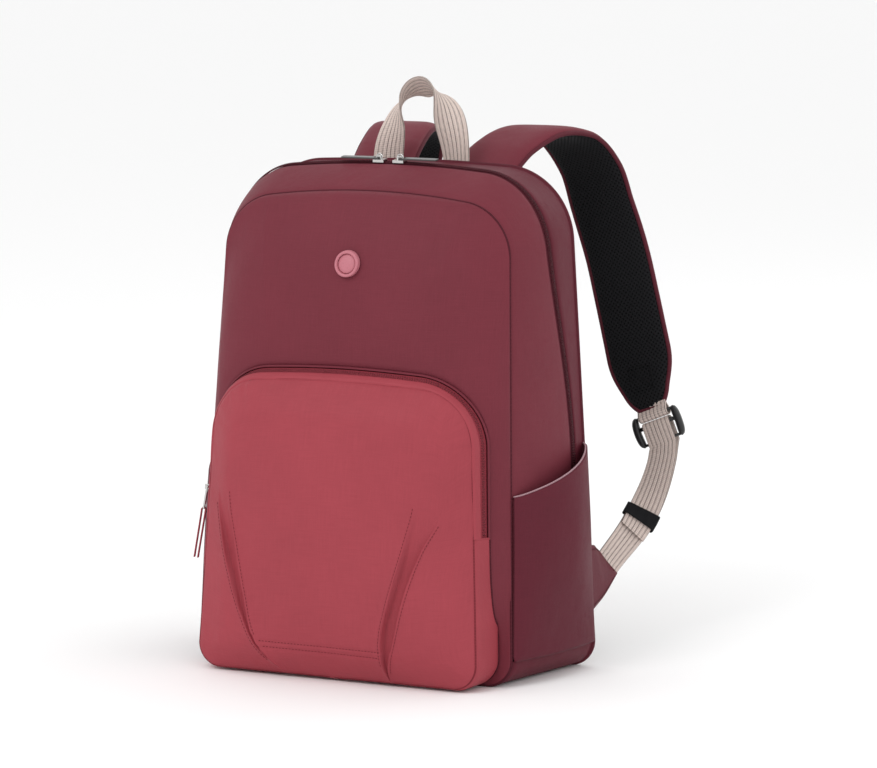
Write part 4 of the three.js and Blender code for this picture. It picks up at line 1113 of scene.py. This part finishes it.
def strap(side, word):
    path = [(side * (x if side > 0 else x - inward), y, z) for (x, y, z), inward in zip(STRAP_PATH, LEFT_INWARD)]
    p, w, n, u = frames_along(path, (1, 0, 0), 420)
    half = strap_half(u) * np.sqrt(1 - 0.6 * np.clip((u - 0.965) / 0.035, 0, 1) ** 2)
    # the foam is full in the middle and thins towards the sewn edge; both ends are flattened
    ends = smooth(u / 0.05) * smooth((1 - u) / 0.035)
    def cover(uu, s):
        full = np.sqrt(np.clip(1 - np.abs(s) ** 5, 0, 1))
        crease = 0.5 * noise3(np.stack([s * 20 + 0 * uu, uu * 420 + 0 * s, 0 * s + 0 * uu + 8 * side], -1), 22)
        return 0.6 + (5.2 * full + crease * full) * (0.35 + 0.65 * ends[:, None])
    def lining(uu, s):
        full = np.sqrt(np.clip(1 - np.abs(s / 0.985) ** 6, 0, 1))
        return -0.6 - 4.6 * full * (0.3 + 0.7 * ends[:, None])
    top = strip_grid(p, w, n, half, cover, 61)
    rim = strip_grid(p, w, n, half - 1.2, lambda uu, s: -1.2 + 0 * uu + 0 * s, 61)
    c = closed_strip(f"strap_cover_cloth_{word}", top, rim, "burgundy", f"strap_{word}",
                     [f"strap_cover_{word}", f"strap_foam_{word}"])
    # the mesh side has real dimples in the same lattice as its material
    cols = 97
    s = np.linspace(-1, 1, cols)
    across = half[:, None] * s[None, :]
    length = np.concatenate([[0], np.cumsum(np.linalg.norm(np.diff(p, axis=0), axis=1))])
    dimple = np.cos(2 * math.pi * across / MESH_ACROSS) * np.cos(2 * math.pi * length[:, None] / MESH_ALONG)
    depth = lining(u[:, None], s[None, :]) + 0.32 * smooth((dimple - 0.15) / 0.6)
    grid = p[:, None] + w[:, None] * (across * 0.975)[..., None] + n[:, None] * depth[..., None]
    uv = np.stack([across, length[:, None] + 0 * across], -1) * 0.001
    base = p[:, None] + w[:, None] * (across * 0.975)[..., None] + n[:, None] * (-0.4)
    rows, cc = grid.shape[:2]
    ring = np.concatenate([grid[:, ::-1], base], 1)
    faces = [tuple(f) for f in grid_faces(rows, 2 * cc, cyclic=True)]
    faces.append(tuple(range(2 * cc)))
    faces.append(tuple(range((rows - 1) * 2 * cc, rows * 2 * cc))[::-1])
    uvr = np.concatenate([uv[:, ::-1], uv], 1)
    m = make_object(f"strap_mesh_lining_{word}", ring.reshape(-1, 3), faces, uvr.reshape(-1, 2), "mesh", f"strap_{word}",
                    [f"strap_mesh_{word}"])
    # binding rolled round the whole edge
    edge = []
    for sgn in (-1, 1):
        edge.append(p + w * (sgn * (half - 0.3))[:, None] + n * -0.6)
    tip = [lerp(edge[1][-1], edge[0][-1], t) for t in np.linspace(0, 1, 12)[1:-1]]
    line = np.vstack([edge[1], tip, edge[0][::-1]])
    tube_object(f"strap_edge_binding_{word}", line[::2], 2.1, "edge", f"strap_{word}", sides=8)
    # stitched square near the end, on the mesh side
    i = int(0.93 * (len(u) - 1))
    def patch(a, b):
        k = np.clip(i + np.asarray(b) / (length[-1] / (len(u) - 1)), 0, len(u) - 1)
        at = lambda arr: np.stack([np.interp(k, np.arange(len(u)), arr[:, c]) for c in range(3)], -1)
        return at(p) + at(w) * np.asarray(a)[:, None] + at(n) * -5.6, -at(n)
    corners = [(-10, -10), (10, -10), (10, 10), (-10, 10), (-10, -10), (10, 10)]
    rows_ = []
    for (a0, b0), (a1, b1) in zip(corners, corners[1:] + [(10, -10)]):
        t = np.linspace(0, 1, 12)
        rows_.append(patch(lerp(a0, a1, t), lerp(b0, b1, t)))
    stitches(f"strap_patch_stitches_{word}", rows_, "black_thread", f"strap_{word}", radius=0.5)


for side, word in ((1, "right"), (-1, "left")):
    strap(side, word)

# ---------------------------------------------------------------- ladder locks and adjusters
LOCK = dict(x=167.5, y=217.0, z=186.5, tilt=math.radians(-22))
WING_EDGE, WING_TIP = np.array([0.39, 0.53, -0.72]), np.array([154.0, 142.0, 78.0])
ADJUSTER_PATH = [(173.2, 217, 172.6), (173, 211, 156), (170, 198, 132), (164, 175, 105), tuple(WING_TIP)]
ADJUSTER_HALF, APART = 13.5, 1.4
MID_BAR = 2.6  # height in the lock of the bar that the webbing turns over


def turn_y(v, angle):
    x, y, z = np.moveaxis(np.asarray(v, float), -1, 0)
    return np.stack([x * math.cos(angle) + z * math.sin(angle), y, -x * math.sin(angle) + z * math.cos(angle)], -1)


def at_lock(v, side):
    return turn_y(v, side * LOCK["tilt"]) + np.array([side * LOCK["x"], LOCK["y"], LOCK["z"]])


def ladder_lock(side, word):
    """Two bowed, rounded cheeks joined by bars, in the place of the CAD's slotted plate."""
    verts, faces = [], []
    ang = np.arange(24) * math.pi / 12
    power = lambda v, k: np.sign(v) * np.abs(v) ** k
    def rod(line, wide, deep, thick, thin, squareness):
        for (x, y, z), k in line:
            section = k * thick * power(np.cos(ang), squareness), k * thin * power(np.sin(ang), squareness)
            verts.extend(np.array([x, y, z]) + section[0][:, None] * wide + section[1][:, None] * deep)
        first = len(verts) - 24 * len(line)
        faces.extend(tuple(f) for f in grid_faces(len(line), 24, cyclic=True, base=first))
        faces.extend([tuple(range(first + 23, first - 1, -1)), tuple(range(len(verts) - 24, len(verts)))])
    x_axis, y_axis, z_axis = np.eye(3)
    v = np.linspace(-1, 1, 25)
    for k in (-1, 1):
        rod([((k * (19.0 + 1.6 * (1 - t * t)), -0.9 * (1 - t * t), 14.0 * t), max(0.05, (1 - abs(t) ** 5) ** 0.5)) for t in v],
            x_axis, y_axis, 3.1, 3.6, 0.75)
    for z, y, tall, deep in ((11.8, 0, 1.6, 2.2), (MID_BAR, 0, 1.8, 2.3), (-12.2, 0.6, 1.3, 1.7)):
        rod([((19.5 * t, y, z), 1.0) for t in np.linspace(-1, 1, 5)], z_axis, y_axis, tall, deep, 0.8)
    make_object(f"ladder_lock_moulded_{word}", at_lock(verts, side), faces, None, "plastic", f"ladder_lock_{word}",
                [f"ladder_lock_{word}"])


def strap_loop(side, word):
    path = [(0.2, 21), (-0.4, 17.8), (-3.2, 13.8), (-4, 11.5), (-3.5, 9.2), (0, 7.9), (3.5, 9.2), (4, 11.5), (3.6, 13.8),
            (1.8, 17.8), (1.4, 21)]
    p, w, n, _ = frames_along([(0, y, z) for y, z in path], (1, 0, 0), 60)
    p = at_lock(p, side)
    w, n = turn_y(w, side * LOCK["tilt"]), turn_y(n, side * LOCK["tilt"])
    webbing_strip(f"strap_loop_webbing_{word}", p, w, n, 14.5, 1.0, "webbing", f"strap_{word}", [f"strap_loop_{word}"],
                  rib=0.2)


def adjuster_frames(side, count):
    lock_wide = turn_y(np.array([1.0, 0, 0]), LOCK["tilt"])
    p, w, n, _ = frames_along(ADJUSTER_PATH, lambda k: lerp(lock_wide, WING_EDGE, float(smooth(k))), count)
    flip = np.array([side, 1, 1])
    return p * flip, w * flip, n * flip


def adjuster(side, word):
    fine = 14 * 8
    p, w, n = adjuster_frames(side, fine + 1)
    front_p, front_w, front_n = (p - n * APART)[8:81][::-1], w[8:81][::-1], -n[8:81][::-1]
    back_p, back_w, back_n = (p + n * APART)[8:], w[8:], n[8:]
    back_p = np.vstack([back_p, [lerp(back_p[-1], p[-1], 0.8) + (p[-1] - p[-9]) * 0.8]])  # its end is inside the wing
    back_w, back_n = np.vstack([back_w, back_w[-1:]]), np.vstack([back_n, back_n[-1:]])
    ks = np.concatenate([[-1], np.linspace(0, 1, 33), [2]])
    over_p, over_n = [], []
    for k in ks:
        t = math.pi * min(1, max(0, k))
        rnd = lambda c: math.copysign(abs(c) ** 0.7, c)
        y, z = -3.9 * rnd(math.cos(t)), (-15.5 if k < 0 or k > 1 else MID_BAR + 3.6 * rnd(math.sin(t)))
        over_p.append((0, y, z))
        over_n.append((0, -math.cos(t), math.sin(t)))
    over_p, over_n = at_lock(over_p, side), turn_y(over_n, side * LOCK["tilt"])
    over_w = np.tile(turn_y(np.array([side, 0.0, 0]), side * LOCK["tilt"]), (len(ks), 1))
    P = np.vstack([front_p, over_p, back_p])
    W = np.vstack([front_w, over_w, back_w])
    N = np.vstack([front_n, over_n, back_n])
    obj = webbing_strip(f"adjuster_webbing_ribbed_{word}", P, W, N, ADJUSTER_HALF, 1.0, "webbing", None,
                        [f"adjuster_webbing_{word}"], rib=0.2)
    return obj


for side, word in ((1, "right"), (-1, "left")):
    ladder_lock(side, word)
    strap_loop(side, word)
    obj = adjuster(side, word)
    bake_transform(obj)


def keeper(side, word):
    p, w, n = adjuster_frames(side, 15)
    def at(k):
        i = int(k)
        return [lerp(a[i], a[min(i + 1, 14)], k - i) for a in (p, w, n)]
    stops = np.linspace(7.3, 8.7, 13)
    rings = []
    for j, k in enumerate(stops):
        c, ww, nn = at(k)
        h, d = ADJUSTER_HALF + 2.4, APART + 0.75 + 1.9
        ring = []
        for i in range(40):
            t = i / 40 * 2 * math.pi
            ring.append(c + ww * (h * math.copysign(abs(math.cos(t)) ** 0.25, math.cos(t)))
                        + nn * ((d + 0.15 * (j % 2)) * math.copysign(abs(math.sin(t)) ** 0.45, math.sin(t))))
        rings.append(ring)
    inner = []
    for k in stops[::-1]:
        c, ww, nn = at(k)
        h, d = ADJUSTER_HALF + 1.5, APART + 0.75 + 1.1
        inner.append([c + ww * (h * math.copysign(abs(math.cos(t)) ** 0.25, math.cos(t)))
                      + nn * (d * math.copysign(abs(math.sin(t)) ** 0.45, math.sin(t)))
                      for t in np.arange(40) / 40 * 2 * math.pi])
    rings = np.array(rings + inner)
    count = len(rings)
    faces = [tuple(f) for f in grid_faces(count, 40, cyclic=True)]
    last = (count - 1) * 40
    faces += [(last + i, last + (i + 1) % 40, (i + 1) % 40, i) for i in range(40)]
    uv = np.stack([np.tile(np.arange(40) * 0.0019, count), np.repeat(np.arange(count) * 0.0012, 40)], -1)
    make_object(f"webbing_keeper_elastic_{word}", rings.reshape(-1, 3), faces, uv, "elastic", f"webbing_keeper_{word}",
                [f"webbing_keeper_{word}"])


def wing(side, word):
    reach = ADJUSTER_HALF + 1
    tip = WING_TIP + np.array([0, -3, -1.2])
    rows = [((160, BACK_Y + 0.4, 103), (163.5, BACK_Y + 0.4, 40)), ((157, 103, 98), (163, 110, 52)),
            (tip - WING_EDGE * reach, tip + WING_EDGE * reach)]
    rows = np.array(rows, float)
    t = np.linspace(0, 2, 46)
    grid = []
    for k in t:
        i = min(int(k), 1)
        a, b = lerp(rows[i, 0], rows[i + 1, 0], k - i), lerp(rows[i, 1], rows[i + 1, 1], k - i)
        grid.append([lerp(a, b, s) for s in np.linspace(0, 1, 30)])
    grid = np.array(grid)
    for _ in range(6):  # eases the bend between the two parts
        grid[1:-1] = (grid[:-2] + 2 * grid[1:-1] + grid[2:]) / 4
    s = np.linspace(0, 1, 30)[None, :]
    edge = np.minimum(np.minimum(s, 1 - s) * 60, (2 - t)[:, None] * 35)
    puff = 1.5 - 1.1 * np.exp(-edge / 2.5) + 0.35 * noise3(grid, 18)
    grid = grid * np.array([side, 1, 1])
    n = normals_of(grid)
    n *= np.sign(n[..., :1]) * 1.0
    mid = grid + np.array([-side * 1.2, 0, 0])
    closed_strip(f"strap_wing_cloth_{word}", mid + n * puff[..., None], mid - n * puff[..., None], "deep", "bag",
                 [f"strap_wing_{word}"])
    lines = []
    for row in (grid[3:-2, 2], grid[3:-2, -3], grid[-3, 2:-2]):
        lines.append((row + np.array([side * 0.3, 0, 0]), np.array([side, 0.0, 0])))
    stitches(f"strap_wing_stitches_{word}", lines, "thread", "bag")


for side, word in ((1, "right"), (-1, "left")):
    keeper(side, word)
    wing(side, word)

# ---------------------------------------------------------------- CAD pieces that stay, with their own finish
def finish_node(name, material, bevel=0.0, segments=3):
    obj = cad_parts[name]
    obj.data.materials.clear()
    obj.data.materials.append(M[material])
    if bevel:
        b = obj.modifiers.new("edges", "BEVEL")
        b.width = bevel * 0.001
        b.segments = segments
        b.limit_method = "ANGLE"
        b.angle_limit = math.radians(35)
        b.harden_normals = False


for word in ("right", "left"):
    finish_node(f"main_slider_{word}", "metal", 0.35)
    finish_node(f"main_puller_{word}", "dark_metal", 0.3)
for side, word in ((1, "right"), (-1, "left")):
    turn = np.linspace(0, 2 * math.pi, 40, endpoint=False)
    ring = np.stack([side * 9.8 + 2.7 * np.cos(turn), 23.6 + 0.6 * np.sin(turn), 431.2 + 2.7 * np.sin(turn)], -1)
    tube_object(f"main_slider_ring_{word}", ring, 0.62, "metal", f"main_slider_{word}", sides=10, cyclic=True)
finish_node("pocket_slider", "metal", 0.35)
finish_node("pocket_puller_clip", "metal", 0.3)
for name in ("pocket_puller_cord", "pocket_puller_loop"):
    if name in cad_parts:
        finish_node(name, "pull", 0.2)

# ---------------------------------------------------------------- floor, light and camera
def studio():
    m, _, _, bsdf = new_material("studio_floor")
    bsdf.inputs["Base Color"].default_value = (0.97, 0.97, 0.97, 1)
    bsdf.inputs["Roughness"].default_value = 0.9
    mesh = bpy.data.meshes.new("studio_floor")
    w = 30.0
    mesh.from_pydata([(-w, -w, -0.0006), (w, -w, -0.0006), (w, w, -0.0006), (-w, w, -0.0006)], [], [(0, 1, 2, 3)])
    mesh.materials.append(m)
    floor = bpy.data.objects.new("studio_floor", mesh)
    bpy.context.scene.collection.objects.link(floor)
    world = bpy.data.worlds.new("studio_world")
    world.use_nodes = True
    world.node_tree.nodes["Background"].inputs["Color"].default_value = (1, 1, 1, 1)
    world.node_tree.nodes["Background"].inputs["Strength"].default_value = 0.97
    bpy.context.scene.world = world
    for name, at, size, power in (("key", (-0.5, -2.3, 2.4), 1.2, 24), ("rim", (2.2, -0.3, 1.4), 1.2, 4),
                                  ("back", (1.2, 2.4, 1.7), 1.4, 8)):
        lamp = bpy.data.lights.new(name, "AREA")
        lamp.size = size
        lamp.energy = power
        obj = bpy.data.objects.new(name, lamp)
        obj.location = at
        target = Vector((0, 0, 0.22))
        obj.rotation_euler = (target - Vector(at)).to_track_quat("-Z", "Y").to_euler()
        bpy.context.scene.collection.objects.link(obj)


def camera(azimuth=25.7, elevation=7.5, focal=4000.0, width=877.0, distance=3419.0, right=51.5, rise=238.5):
    a, e = math.radians(azimuth), math.radians(elevation)
    back = np.array([math.sin(a) * math.cos(e), -math.cos(a) * math.cos(e), math.sin(e)])
    across = np.array([math.cos(a), math.sin(a), 0])
    up_ = np.cross(back, across)
    at = (across * right + up_ * rise + back * distance) * 0.001
    data = bpy.data.cameras.new("camera")
    data.sensor_fit = "HORIZONTAL"
    data.sensor_width = 36.0
    data.lens = focal / width * 36.0
    data.clip_start, data.clip_end = 0.05, 60
    obj = bpy.data.objects.new("camera", data)
    m = Matrix(np.column_stack([across, up_, back]).tolist()).to_4x4()
    m.translation = Vector(at.tolist())
    obj.matrix_world = m
    bpy.context.scene.collection.objects.link(obj)
    bpy.context.scene.camera = obj


studio()
camera()
bpy.context.scene.view_settings.view_transform = "Standard"
bpy.context.view_layer.update()
